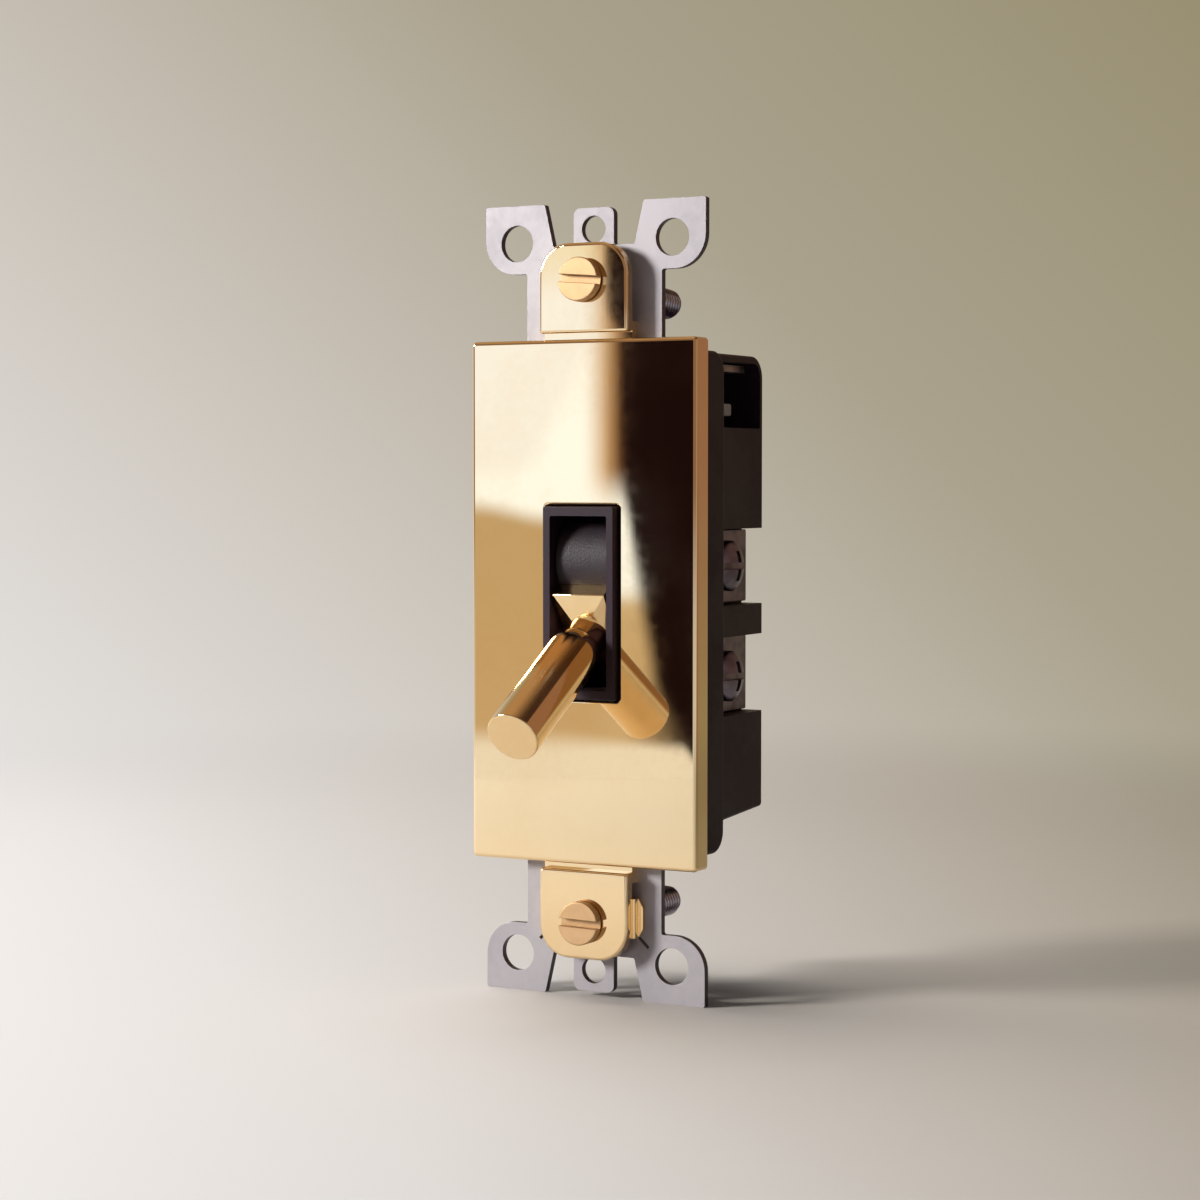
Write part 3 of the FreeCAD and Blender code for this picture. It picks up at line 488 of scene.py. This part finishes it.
def screwBrass(name, centre, axisTurn, look):
    # turned brass head, ringed about the screw's own axis, on a steel shank
    material, graph, shader = newMaterial(name)
    place = graph.place()
    local = graph.add("ShaderNodeMapping", {"Vector": place, "Location": centre, "Rotation": axisTurn},
                      vector_type="TEXTURE").outputs[0]
    rings = graph.group(turningMarks, {"Place": local, "Rings": look["rings"]})["Marks"]
    marks = graph.group(handlingMarks, {"Place": place, "Size": look["markSize"]})["Marks"]
    head = graph.mix(marks, look["head"], look["headWorn"])
    shank = graph.mix(marks, look["shank"], look["shankWorn"])
    # painted shade: the thread's roots are darkened nearly to black
    shank = graph.mix(graph.ramp(graph.fromAxis(local), look["rootShadeBand"], (1.0, 0.0)), shank, look["root"])
    behind = graph.ramp(graph.parts(place)[1], look["change"])
    rough = graph.ramp(behind, (0.0, 1.0), (look["headRoughness"], look["shankRoughness"]))
    rough = graph.math("MULTIPLY_ADD", rings, look["ringRoughness"], rough)
    graph.fill(shader, {"Base Color": graph.mix(behind, head, shank), "Metallic": 1.0, "Roughness": rough})
    bump(graph, shader, rings, look)
    return material


print("materials made")


# Brass face

faceSizes = {"halfWidth": 16.65, "halfHeight": 34.05, "corner": 0.6, "leastCorner": 0.15, "front": -4.2,
             "back": -1.0, "edge": 0.5, "backEdge": 0.08, "wall": 1.7, "rim": 1.5, "hollowCorner": 0.5,
             "windowHalf": (5.40, 12.65), "windowCorner": 0.40, "windowEdge": 0.35, "neckHalf": 6.6,
             "support": 0.03}


def faceTray(sizes):
    # rings of rounded rectangles carried from the back of the rim round the front edge, in over the front to
    # the window, through it and back under the wall to the rim; the last ring joins the first
    front, back = sizes["front"], sizes["back"]
    inner = front + sizes["wall"]
    wide, tall = sizes["halfWidth"], sizes["halfHeight"]
    rings = []

    def outer(inset, y):
        corner = max(sizes["corner"] - inset, sizes["leastCorner"])
        rings.append(ringAt(outline(wide - inset, inset - tall, tall - inset, [corner] * 4), y))

    def window(inset, y):
        across, up = sizes["windowHalf"]
        corner = sizes["windowCorner"] + inset
        rings.append(ringAt(outline(across + inset, -up - inset, up + inset, [corner] * 4), y))

    def hollow(y):
        rim = sizes["rim"]
        rings.append(ringAt(outline(wide - rim, rim - tall, tall - rim, [sizes["hollowCorner"]] * 4), y))

    outer(sizes["backEdge"], back)
    outer(0.0, back - sizes["backEdge"])
    outer(0.0, front + sizes["edge"] + sizes["support"])
    for inset, along in quarterTurn(sizes["edge"], 7):
        outer(inset, front + along)
    outer(sizes["edge"] + sizes["support"], front)
    window(sizes["windowEdge"] + sizes["support"], front)
    for inset, along in quarterTurn(sizes["windowEdge"], 5)[::-1]:
        window(inset, front + along)
    window(0.0, inner)
    hollow(inner)
    hollow(back)
    stacked = np.stack(rings)
    piece = makePiece("faceTray", stacked, gridFaces(len(rings), stacked.shape[1], joined=True))
    # a notch through the rim at each end lets the carrier's neck out; it starts half a millimetre inside the
    # rim and runs a millimetre past the tray
    for side in (-1, 1):
        low, high = sorted((side * (tall - sizes["rim"] - 0.5), side * (tall + 1)))
        points, faces = boxMesh((-sizes["neckHalf"], inner, low), (sizes["neckHalf"], back + 1, high))
        combine(piece, makePiece("neckNotch", points, faces), "DIFFERENCE")
    evenNormals(piece)
    return piece


finishPiece(faceTray(faceSizes), "face_plate", "frame", polishedBrass)
print("face made")


# Lever

leverSizes = {"pivotY": 4.2, "tilt": 31.5, "blockHalf": (3.8, 5.85), "seat": 1.5, "blockFront": 7.5,
              "blockEdge": 0.09, "facetFront": 8.7, "facetHalf": (1.3, 2.6), "neck": 2.95, "neckEnd": 11.0,
              "shoulderEnd": 13.4, "rod": 3.5, "end": 30.7, "edge": 0.25, "root": 6.5, "support": 0.05,
              "tangHalf": (1.2, 2.2), "tangBack": -1.6, "tangLap": 0.5, "pin": 1.01, "pinReach": 5}


def leverPlace(sizes):
    # lever coordinates (across, up, along from the pivot) turned to the dolly's rest position
    slope = math.radians(sizes["tilt"])
    return Matrix(((1, 0, 0, 0),
                   (0, -math.sin(slope), -math.cos(slope), sizes["pivotY"]),
                   (0, math.cos(slope), -math.sin(slope), 0),
                   (0, 0, 0, 1)))


def leverBlock(sizes):
    # rectangles across the lever, from the seat to the front of the block and on to the small facet face
    corners = np.array([[-1, -1], [1, -1], [1, 1], [-1, 1]])
    sections = [(sizes["blockHalf"], sizes["seat"]), (sizes["blockHalf"], sizes["blockFront"]),
                (sizes["facetHalf"], sizes["facetFront"])]
    points = np.concatenate([np.column_stack([corners * half, np.full(4, level)])
                             for half, level in sections])
    return points, closedFaces(len(sections), 4)


def leverRod(sizes):
    # neck, rounded shoulder, rod and broken end edge, all turned; its root stands inside the block
    rise = sizes["rod"] - sizes["neck"]
    length = sizes["shoulderEnd"] - sizes["neckEnd"]
    turn = np.linspace(0, math.pi / 2, 13)
    shoulder = np.column_stack([sizes["neck"] + rise * np.sin(turn),
                                sizes["neckEnd"] + length * (1 - np.cos(turn))])
    edgeFrom = sizes["end"] - sizes["edge"]
    edge = np.column_stack([sizes["rod"] - sizes["edge"] + sizes["edge"] * np.cos(turn),
                            edgeFrom + sizes["edge"] * np.sin(turn)])
    neck = [[sizes["neck"], sizes["root"]], [sizes["neck"], sizes["neckEnd"] - sizes["support"]]]
    return lathe(np.concatenate([neck, shoulder, [[sizes["rod"], edgeFrom - sizes["support"]]], edge]), 128)


def makeLever(sizes):
    place = leverPlace(sizes)
    points, faces = leverBlock(sizes)
    piece = makePiece("leverBrass", turned(points, place), faces)
    bevelled(piece, sizes["blockEdge"], 3)
    settle(piece)
    half, tall = sizes["tangHalf"]
    points, faces = boxMesh((-half, -tall, sizes["tangBack"]), (half, tall, sizes["seat"] + sizes["tangLap"]))
    combine(piece, makePiece("leverTang", turned(points, place), faces), "UNION", 25)
    points, faces = lathe([[sizes["pin"], -sizes["pinReach"]], [sizes["pin"], sizes["pinReach"]]], 32)
    across = Matrix.Translation((0, sizes["pivotY"], 0)) @ Matrix.Rotation(math.pi / 2, 4, "Y")
    combine(piece, makePiece("leverPinHole", turned(points, across), faces), "DIFFERENCE", 25)
    points, faces = leverRod(sizes)
    addShell(piece, makePiece("leverRod", turned(points, place), faces, 32))
    evenNormals(piece)
    return piece


finishPiece(makeLever(leverSizes), "dolly_lever", "dolly", turnedBrass)
print("lever made")


# Screws

def threadRadius(sizes, height, angle):
    # the neck grows over one pitch into the crest, less a V groove whose place along the bar goes up by one
    # pitch in each turn; a cone cuts the end
    turns = height / sizes["pitch"] - angle / (2 * math.pi)
    flank = np.abs((turns % 1.0) - 0.5) * 2
    groove = np.clip(flank * sizes["steep"] - sizes["crestFlat"], 0, 1)
    deep = np.abs(height)
    start = np.clip((deep - sizes["neckLength"]) / sizes["pitch"], 0, 1)
    crest = sizes["crest"]
    full = sizes["neck"] + (crest - (crest - sizes["root"]) * groove - sizes["neck"]) * start
    tip = crest - sizes["chamfer"] + np.clip(sizes["length"] - deep, 0, None)
    return np.minimum(full, tip)


def screwPoints(sizes, head, way, segments):
    # a turned head from its face down to the neck, then the thread, up or down the Z axis
    rows = int((sizes["length"] - sizes["neckLength"]) / sizes["pitch"] * 10)
    height = way * np.linspace(sizes["neckLength"], sizes["length"], rows)
    radius = threadRadius(sizes, height[:, None], roundAngles(segments))
    return spun(np.concatenate([np.repeat(head[:, :1], segments, axis=1), radius]),
                np.concatenate([head[:, 1], height]))


boxScrewSizes = {
    "head": 2.85, "headHeight": 1.3, "headEdge": 0.16, "faceRing": 0.04, "underEdge": 0.05, "neckRing": 0.06,
    "slotWidth": 1.0, "slotDepth": 1.05, "slotFlare": 0.07, "slotReach": 4.0, "slotAbove": 1.0, "neck": 1.85,
    "neckLength": 5.2, "crest": 2.05, "root": 1.66, "pitch": 0.794, "steep": 1.25, "crestFlat": 0.12,
    "length": 26.8, "chamfer": 0.45, "under": -4.25, "z": 41.65, "swing": 2.2}


def boxScrewPlace(sizes, side, droop):
    # screw coordinates (Z along the shank) laid back along +Y, drooping and swung to its seat
    lay = Matrix.Rotation(-math.pi / 2, 4, "X")
    hang = Matrix.Rotation(math.radians(-droop), 4, "X")
    swing = Matrix.Rotation(math.radians(sizes["swing"]), 4, "Z")
    return Matrix.Translation((0, sizes["under"], side * sizes["z"])) @ swing @ hang @ lay


def slotSection(sizes):
    # half of the slot's outline, from its floor up past its flared mouth, and the same half mirrored
    half, face = sizes["slotWidth"] / 2, -sizes["headHeight"]
    mouth = half + sizes["slotFlare"]
    right = np.array([[half, face + sizes["slotDepth"]], [half, face + sizes["slotFlare"]], [mouth, face],
                      [mouth, face - sizes["slotAbove"]]])
    return np.concatenate([right, right[::-1] * (-1, 1)])


def makeBoxScrew(sizes, name, side, droop, slotTurn):
    top, rim, neck, under = -sizes["headHeight"], sizes["head"], sizes["neck"], sizes["underEdge"]
    soft = quarterTurn(sizes["headEdge"], 4)[::-1]
    head = [[rim - sizes["headEdge"] - sizes["faceRing"], top]]
    head += [[rim - inset, top + along] for inset, along in soft]
    head += [[rim, -under], [rim - under, 0.0], [neck + under, 0.0], [neck, sizes["neckRing"]]]
    place = boxScrewPlace(sizes, side, droop)
    points, faces = screwPoints(sizes, np.array(head), 1, 56)
    piece = makePiece(name, turned(points, place), faces, 50)
    points, faces = prism(slotSection(sizes), sizes["slotReach"])
    turnSlot = Matrix.Rotation(math.radians(slotTurn), 4, "Z")
    combine(piece, makePiece("screwSlot", turned(points, place @ turnSlot), faces), "DIFFERENCE", 40)
    evenNormals(piece)
    return piece


for name, node, body, side, droop, slotTurn in (
        ("upperBoxScrew", "upper_box_screw", "upper_screw", 1, 3.7, 4.4),
        ("lowerBoxScrew", "lower_box_screw", "lower_screw", -1, 1.4, 1.5)):
    middle = Vector((0, boxScrewSizes["under"], side * boxScrewSizes["z"])) * mm
    axisTurn = (math.radians(-droop), 0, math.radians(boxScrewSizes["swing"]))
    brass = screwBrass(name + "Brass", middle, axisTurn, screwLook)
    finishPiece(makeBoxScrew(boxScrewSizes, name, side, droop, slotTurn), node, body, brass)
print("box screws made")

clampScrewSizes = {
    "base": 10.65, "y": 16.5, "head": 3.4, "height": 2.1, "rise": 1.3, "domeEdge": 0.12, "rimRing": 0.06,
    "underEdge": 0.10, "neck": 2.0, "neckLength": 0.0, "crest": 2.0, "root": 1.65, "pitch": 0.8,
    "steep": 1.2, "crestFlat": 0.12, "length": 4.4, "chamfer": 0.4, "slotWidth": 0.9, "slotDepth": 1.0,
    "slotReach": 5.0, "cross": 2.0}


def makeClampScrew(sizes, name, z):
    head, height, rise = sizes["head"], sizes["height"], sizes["rise"]
    # the dome is part of a ball whose top and rim are given
    ball = (head ** 2 + rise ** 2) / (2 * rise)
    away = np.linspace(0.02, 1, 14) * (head - sizes["domeEdge"])
    dome = np.column_stack([away, height - ball + np.sqrt(ball ** 2 - away ** 2)])
    under = sizes["underEdge"]
    edge = [[head, height - rise - sizes["rimRing"]], [head, under], [head - under, 0.0]]
    points, faces = screwPoints(sizes, np.concatenate([dome, edge]), -1, 64)
    place = Matrix.Translation((sizes["base"], sizes["y"], z)) @ Matrix.Rotation(math.pi / 2, 4, "Y")
    piece = makePiece(name, turned(points, place), faces, 40)
    half, reach = sizes["slotWidth"] / 2, sizes["slotReach"]
    floor = height - sizes["slotDepth"]
    for across, up in ((half, reach), (sizes["cross"], half)):
        points, faces = boxMesh((-across, -up, floor), (across, up, reach))
        combine(piece, makePiece("clampSlot", turned(points, place), faces), "DIFFERENCE", 40)
    evenNormals(piece)
    return piece


for name, node, body, z in (("upperClampScrew", "upper_terminal_screw", "upper_clamp", 4.4),
                            ("lowerClampScrew", "lower_terminal_screw", "lower_clamp", -10.4)):
    finishPiece(makeClampScrew(clampScrewSizes, name, z), node, body, terminalMetal)
print("terminal screws made")


# Pieces that keep the solid's shape, with their edges softened

# node, piece, body, width of the softened edge, steps across it, slot and material
softPieces = [
    ("mounting_strap", "strapStamped", "frame", 0.13, 3, "satin_steel", strapSteel),
    ("face_carrier", "carrierBrass", "frame", 0.10, 2, "polished_brass", polishedBrass),
    ("ground_clip", "earthClip", "frame", 0.07, 2, "polished_brass", polishedBrass),
    ("front_housing", "flangeMoulding", "frame", 0.14, 2, "housing_plastic", housingPlastic),
    ("rear_housing", "bodyMoulding", "frame", 0.14, 2, "housing_plastic", housingPlastic),
    ("upper_terminal", "upperTerminalPlate", "frame", 0.08, 2, "terminal_metal", terminalMetal),
    ("lower_terminal", "lowerTerminalPlate", "frame", 0.08, 2, "terminal_metal", terminalMetal),
    ("earth_strip", "earthAngle", "frame", 0.08, 2, "rivet_steel", rivetSteel),
    ("insulating_tab", "creamTab", "frame", 0.12, 2, "cream_nylon", creamNylon),
    ("rocker_drum", "rockerMoulding", "dolly", 0.22, 3, "rocker_plastic", rockerPlastic),
]
for node, name, body, width, segments, slotName, material in softPieces:
    finishPiece(softened(node, name, width, segments), node, body, material)

# the hidden solids stay as they are, with their own materials
for node, material in (("housing_rivets", rivetSteel), ("pivot_pin", rivetSteel),
                       ("toggle_spring", springSteel), ("contact_cradle", contactCopper),
                       ("moving_contact", contactSilver), ("fixed_contact", contactSilver),
                       ("stop_pad", stopRubber)):
    nodes[node].data.materials.clear()
    nodes[node].data.materials.append(material)
print("softened pieces made")


# Camera

cameraSizes = {"eye": (174.917, -318.254, 16.004), "tilt": 87.51, "turn": 28.74, "lens": 83.37, "sensor": 36,
               "clipStart": 10}


def makeCamera(sizes):
    camera = bpy.data.cameras.new("photoCamera")
    camera.lens = sizes["lens"]
    camera.sensor_width = sizes["sensor"]
    camera.clip_start = sizes["clipStart"] * mm
    cameraObject = bpy.data.objects.new("photoCamera", camera)
    cameraObject.location = Vector(sizes["eye"]) * mm
    cameraObject.rotation_euler = (math.radians(sizes["tilt"]), 0, math.radians(sizes["turn"]))
    bpy.context.scene.collection.objects.link(cameraObject)
    bpy.context.scene.camera = cameraObject


makeCamera(cameraSizes)


# Stage: a swept floor, soft lamps and a glowing card that paints the polished face's reflection

stageSizes = {"floor": -51.9, "flat": 420.0, "flatRings": 10, "sweep": 480.0, "top": 900.0, "segments": 96}


def makeStage(sizes):
    # a bowl: flat out to one radius, then a quarter circle up to a wall, all carried round the Z axis
    turn = np.linspace(0, math.pi / 2, 17)[1:]
    flat, sweep, rings = sizes["flat"], sizes["sweep"], sizes["flatRings"]
    reach = np.concatenate([np.linspace(1, flat, rings), flat + sweep * np.sin(turn), [flat + sweep]])
    level = np.concatenate([np.zeros(rings), sweep * (1 - np.cos(turn)), [sizes["top"]]]) + sizes["floor"]
    points, faces = lathe(np.column_stack([reach, level]), sizes["segments"])
    mesh = bpy.data.meshes.new("stageFloor")
    # the bowl is open at the top, so the last face stays out
    mesh.from_pydata((points * mm).tolist(), [], faces[:-1])
    return addObject("stageFloor", mesh, 60)


# painted light falloff on the backdrop from lower left to upper right, and the places in metres where the
# stage in front is painted darker, as a reflection that only metal shows
stageLook = {
    "span": (-0.42, 0.70),
    "falloffStops": [(0.0, (0.83, 0.815, 0.79, 1)), (0.14, (0.775, 0.75, 0.725, 1)), (0.375, (0.56, 0.51, 0.445, 1)),
              (0.53, (0.40, 0.36, 0.265, 1)), (0.76, (0.31, 0.27, 0.165, 1)), (1.0, (0.32, 0.285, 0.195, 1))],
    "bounce": (0.17, 0.155, 0.175, 1),
    "warm": (0.31, 0.175, 0.115, 1), "warmBand": (0.76, 1.0),
    "near": (0.628, 0.669, 0.737, 1), "nearDepth": (-0.20, -0.04),
    "front": (0.26, 0.17, 0.11, 1), "frontDepth": (-0.36, -0.05), "frontHeight": (-0.045, 0.02),
    "paintedFrom": (0.20, 0.44), "roughness": 0.9, "specular": 0.1}


def stageMaterial(look, view):
    # painted light falloff: pale below and to the left of the camera's view, falling to olive grey above and
    # to the right
    material, graph, shader = newMaterial("stagePaper")
    place = graph.place()
    turn = view.rotation_euler.to_matrix()
    aim = graph.vector("NORMALIZE", graph.vector("SUBTRACT", place, view.location)[0])[0]
    right, up = (graph.vector("DOT_PRODUCT", aim, turn.col[axis])[1] for axis in (0, 1))
    share = graph.ramp(graph.math("ADD", right, up), look["span"], smooth=False)
    backdrop = graph.add("ShaderNodeValToRGB", {0: share})
    marks = backdrop.color_ramp.elements
    for spot, colour in look["falloffStops"][1:-1]:
        marks.new(spot)
    for mark, (spot, colour) in zip(marks, look["falloffStops"]):
        mark.color = colour
    rays = graph.add("ShaderNodeLightPath").outputs
    glossy = rays["Is Glossy Ray"]
    seen = graph.math("MAXIMUM", graph.math("MAXIMUM", rays["Is Camera Ray"], glossy),
                      rays["Is Transmission Ray"])
    # painted reflections, only for glossy rays: warmer to the upper right, paler and bluer on the floor in
    # front, and darker and warmer than the backdrop higher up in front
    x, depth, height = graph.parts(place)
    paint = backdrop.outputs[0]
    warm = graph.math("MULTIPLY", graph.ramp(share, look["warmBand"]), glossy)
    paint = graph.mix(warm, paint, look["warm"])
    near = graph.math("MULTIPLY", graph.ramp(depth, look["nearDepth"], (1.0, 0.0)), glossy)
    paint = graph.mix(near, paint, look["near"])
    front = graph.math("MULTIPLY", graph.ramp(depth, look["frontDepth"], (1.0, 0.0)),
                       graph.ramp(height, look["frontHeight"]))
    paint = graph.mix(graph.math("MULTIPLY", front, glossy), paint, look["front"])
    graph.fill(shader, {"Base Color": graph.mix(seen, look["bounce"], paint), "Roughness": look["roughness"],
                        "Specular IOR Level": look["specular"]})
    # away from the object the wall glows with its painted tone and painted falloff, whatever light reaches it
    plain = graph.math("MULTIPLY", seen, graph.ramp(graph.vector("LENGTH", place)[1], look["paintedFrom"]))
    glow = graph.add("ShaderNodeEmission", {"Color": paint})
    both = graph.add("ShaderNodeMixShader", {0: plain, 1: shader.outputs[0], 2: glow.outputs[0]})
    graph.put(graph.tree.nodes["Material Output"].inputs[0], both.outputs[0])
    return material


stage = makeStage(stageSizes)
stage.data.materials.append(stageMaterial(stageLook, bpy.context.scene.camera))

# places and sides in metres, power in watts; the top lamp's mirror image would whiten the lever
lamps = {
    "keyLamp": {"place": (-0.56, -0.52, 0.23), "sides": (0.19, 0.18), "power": 7.0,
                "colour": (1.0, 0.98, 0.97), "inMetal": True},
    "topLamp": {"place": (-0.30, 0.12, 0.72), "sides": (0.60, 0.60), "power": 4.8,
                "colour": (1.0, 0.99, 0.98), "inMetal": False},
}


def makeLamp(name, look):
    # a rectangle that looks at the origin
    lamp = bpy.data.lights.new(name, "AREA")
    lamp.shape = "RECTANGLE"
    lamp.size, lamp.size_y = look["sides"]
    lamp.energy = look["power"]
    lamp.color = look["colour"]
    lampObject = bpy.data.objects.new(name, lamp)
    lampObject.location = look["place"]
    lampObject.rotation_euler = (-Vector(look["place"])).to_track_quat("-Z", "Y").to_euler()
    lampObject.visible_camera = False
    lampObject.visible_glossy = look["inMetal"]
    bpy.context.scene.collection.objects.link(lampObject)


for name, look in lamps.items():
    makeLamp(name, look)

# painted reflection of what metal sees past the stage, from the left to the right, and the plain light on
# everything else
airLook = {"across": (-0.30, 0.48), "left": (0.46, 0.30, 0.17, 1), "right": (0.055, 0.03, 0.022, 1),
           "plain": (0.04, 0.04, 0.04, 1)}


def makeAir(look):
    world = bpy.data.worlds.new("studioAir")
    bpy.context.scene.world = world
    world.use_nodes = True
    graph = Graph(world.node_tree)
    share = graph.ramp(graph.parts(graph.place("Generated"))[0], look["across"])
    shine = graph.mix(share, look["left"], look["right"])
    tone = graph.mix(graph.add("ShaderNodeLightPath").outputs["Is Glossy Ray"], look["plain"], shine)
    graph.put(graph.tree.nodes["Background"].inputs[0], tone)


makeAir(airLook)

# the part of the face that the card covers, as first, last and count across and up, in millimetres
cardSizes = {"across": (-19, 20, 40), "up": (-36, 50, 87), "facing": (-0.486, -0.873, -0.044), "away": 275}


def makeCard(sizes, eye, plateY):
    # each point of the card is where the camera's line of sight, mirrored in the plane of the brass face
    # at the plate point (x, z), comes to the card's own plane; the UV map keeps x and z
    plateX, plateZ = np.meshgrid(np.linspace(*sizes["across"]), np.linspace(*sizes["up"]))
    plate = np.stack([plateX, np.full(plateX.shape, plateY), plateZ], axis=-1)
    sight = (plate - np.array(eye)) * (1, -1, 1)
    facing = np.array(sizes["facing"])
    reach = (sizes["away"] - plate @ facing) / (sight @ facing)
    points = plate + sight * reach[..., None]
    mesh = bpy.data.meshes.new("mirrorCard")
    mesh.from_pydata((points.reshape(-1, 3) * mm).tolist(), [], gridFaces(*plateX.shape, closed=False))
    layer = mesh.uv_layers.new(name="plate")
    flat = np.stack([plateX, plateZ], axis=-1).reshape(-1, 2)
    corner = np.zeros(len(mesh.loops), int)
    mesh.loops.foreach_get("vertex_index", corner)
    layer.data.foreach_set("uv", flat[corner].reshape(-1))
    card = addObject("mirrorCard", mesh, 60)
    card.visible_camera = False
    card.visible_diffuse = False
    card.visible_shadow = False
    return card


# bands and edges are in millimetres on the face, x across and z up; a pair of pairs is a band and what it
# gives at its two ends; the doorway's edge runs between its two offsets, drawn from the bottom to the top
cardLook = {
    "wallBand": (-18.0, 8.0), "wallLow": (0.61, 0.485, 0.325, 1), "wallHigh": (0.58, 0.47, 0.31, 1),
    "besideX": ((1.0, 6.0), (0.0, 1.0)), "besideZ": ((-5.0, 12.0), (0.1, 1.0)),
    "beside": (0.94, 0.89, 0.76, 1),
    "windowSlope": -0.48, "windowFold": (-17.5, -13.5), "windowFoot": (15.0, 19.0),
    "windowHead": (38.0, 46.0), "windowDim": (1.04, 1.24, 1.70, 1), "window": (1.12, 1.36, 1.85, 1),
    "windowTop": (0.98, 1.05, 1.10, 1),
    "sill": ((-16.0, -5.0), (12.4, 10.8)), "sillDrop": ((-2.0, 5.0), (0.0, -10.0)), "sillBlur": (-1.6, 1.8),
    "postX": (-0.3, 4.6), "postZ": (11.0, 18.0), "postFold": (2.4, 6.4),
    "postLit": (0.68, 0.49, 0.30, 1), "postDark": (0.14, 0.07, 0.045, 1),
    "doorRise": (-45.0, 45.0), "doorSpan": (-4.0, 16.0), "door": (0.012, 0.005, 0.006, 1),
    "doorEdge": [(0.0, 0.74), (0.30, 0.735), (0.40, 0.715), (0.50, 0.635), (0.61, 0.55),
                 (0.68, 0.50), (0.8, 0.48), (0.88, 0.47), (0.92, 0.39), (1.0, 0.37)],
    "doorBlur": ((-14.0, 12.0), (1.7, 0.95)), "doorFoot": ((-18.0, -9.0), (4.0, 0.0)),
    "floorDip": ((14.5, 17.0), (18.0, 20.0)), "floorBlur": ((-2.0, 8.0), (1.9, 1.0)),
    "floor": (0.90, 0.94, 1.02, 1)}


def bend(graph, value, points):
    # a smooth curve through the given points, both ways between 0 and 1
    node = graph.add("ShaderNodeFloatCurve", {"Value": value})
    line = node.mapping.curves[0]
    line.points[0].location, line.points[1].location = points[0], points[-1]
    for spot in points[1:-1]:
        line.points.new(*spot)
    node.mapping.update()
    return node.outputs[0]


def cardMaterial(look):
    # painted reflection, glowing, for the face: a bright window upper left, a warm wall, and a dark doorway
    # on the right
    material, graph, glow = newMaterial("paintedReflectionCard", "ShaderNodeEmission")
    x, z, unused = graph.parts(graph.add("ShaderNodeUVMap", uv_map="plate").outputs[0])
    wall = graph.mix(graph.ramp(z, look["wallBand"]), look["wallLow"], look["wallHigh"])
    beside = graph.math("MULTIPLY", graph.ramp(x, *look["besideX"]), graph.ramp(z, *look["besideZ"]))
    wall = graph.mix(beside, wall, look["beside"])
    slanted = graph.math("MULTIPLY_ADD", z, look["windowSlope"], x)
    window = graph.mix(graph.ramp(slanted, look["windowFold"]), look["windowDim"], look["window"])
    window = graph.mix(graph.ramp(z, look["windowFoot"], (1.0, 0.0)), window, look["window"])
    window = graph.mix(graph.ramp(z, look["windowHead"]), window, look["windowTop"])
    sill = graph.math("ADD", graph.ramp(x, *look["sill"]), graph.ramp(x, *look["sillDrop"]))
    tone = graph.mix(graph.ramp(graph.math("SUBTRACT", z, sill), look["sillBlur"]), wall, window)
    # a warm post beside the doorway, above the plate's middle, with painted shade from its lit left to its
    # dark right
    post = graph.math("MULTIPLY", graph.ramp(x, look["postX"]), graph.ramp(z, look["postZ"]))
    shaded = graph.mix(graph.ramp(x, look["postFold"]), look["postLit"], look["postDark"])
    tone = graph.mix(post, tone, shaded)
    # the doorway's edge is blurred low down, and the floor line is sharper and dips on the right
    low, high = look["doorSpan"]
    edge = bend(graph, graph.ramp(z, look["doorRise"], smooth=False), look["doorEdge"])
    past = graph.math("SUBTRACT", x, graph.math("MULTIPLY_ADD", edge, high - low, low))
    blur = graph.math("ADD", graph.ramp(z, *look["doorBlur"]), graph.ramp(z, *look["doorFoot"]))
    tone = graph.mix(graph.ramp(graph.math("DIVIDE", past, blur), (-1.0, 1.0)), tone, look["door"])
    dipped = graph.math("DIVIDE", graph.math("ADD", z, graph.ramp(x, *look["floorDip"])),
                        graph.ramp(x, *look["floorBlur"]))
    tone = graph.mix(graph.ramp(dipped, (-1.0, 1.0), (1.0, 0.0)), tone, look["floor"])
    graph.fill(glow, {"Color": tone})
    return material


card = makeCard(cardSizes, cameraSizes["eye"], faceSizes["front"])
card.data.materials.append(cardMaterial(cardLook))
bpy.context.scene.view_settings.view_transform = "Standard"
print("stage and lamps made")
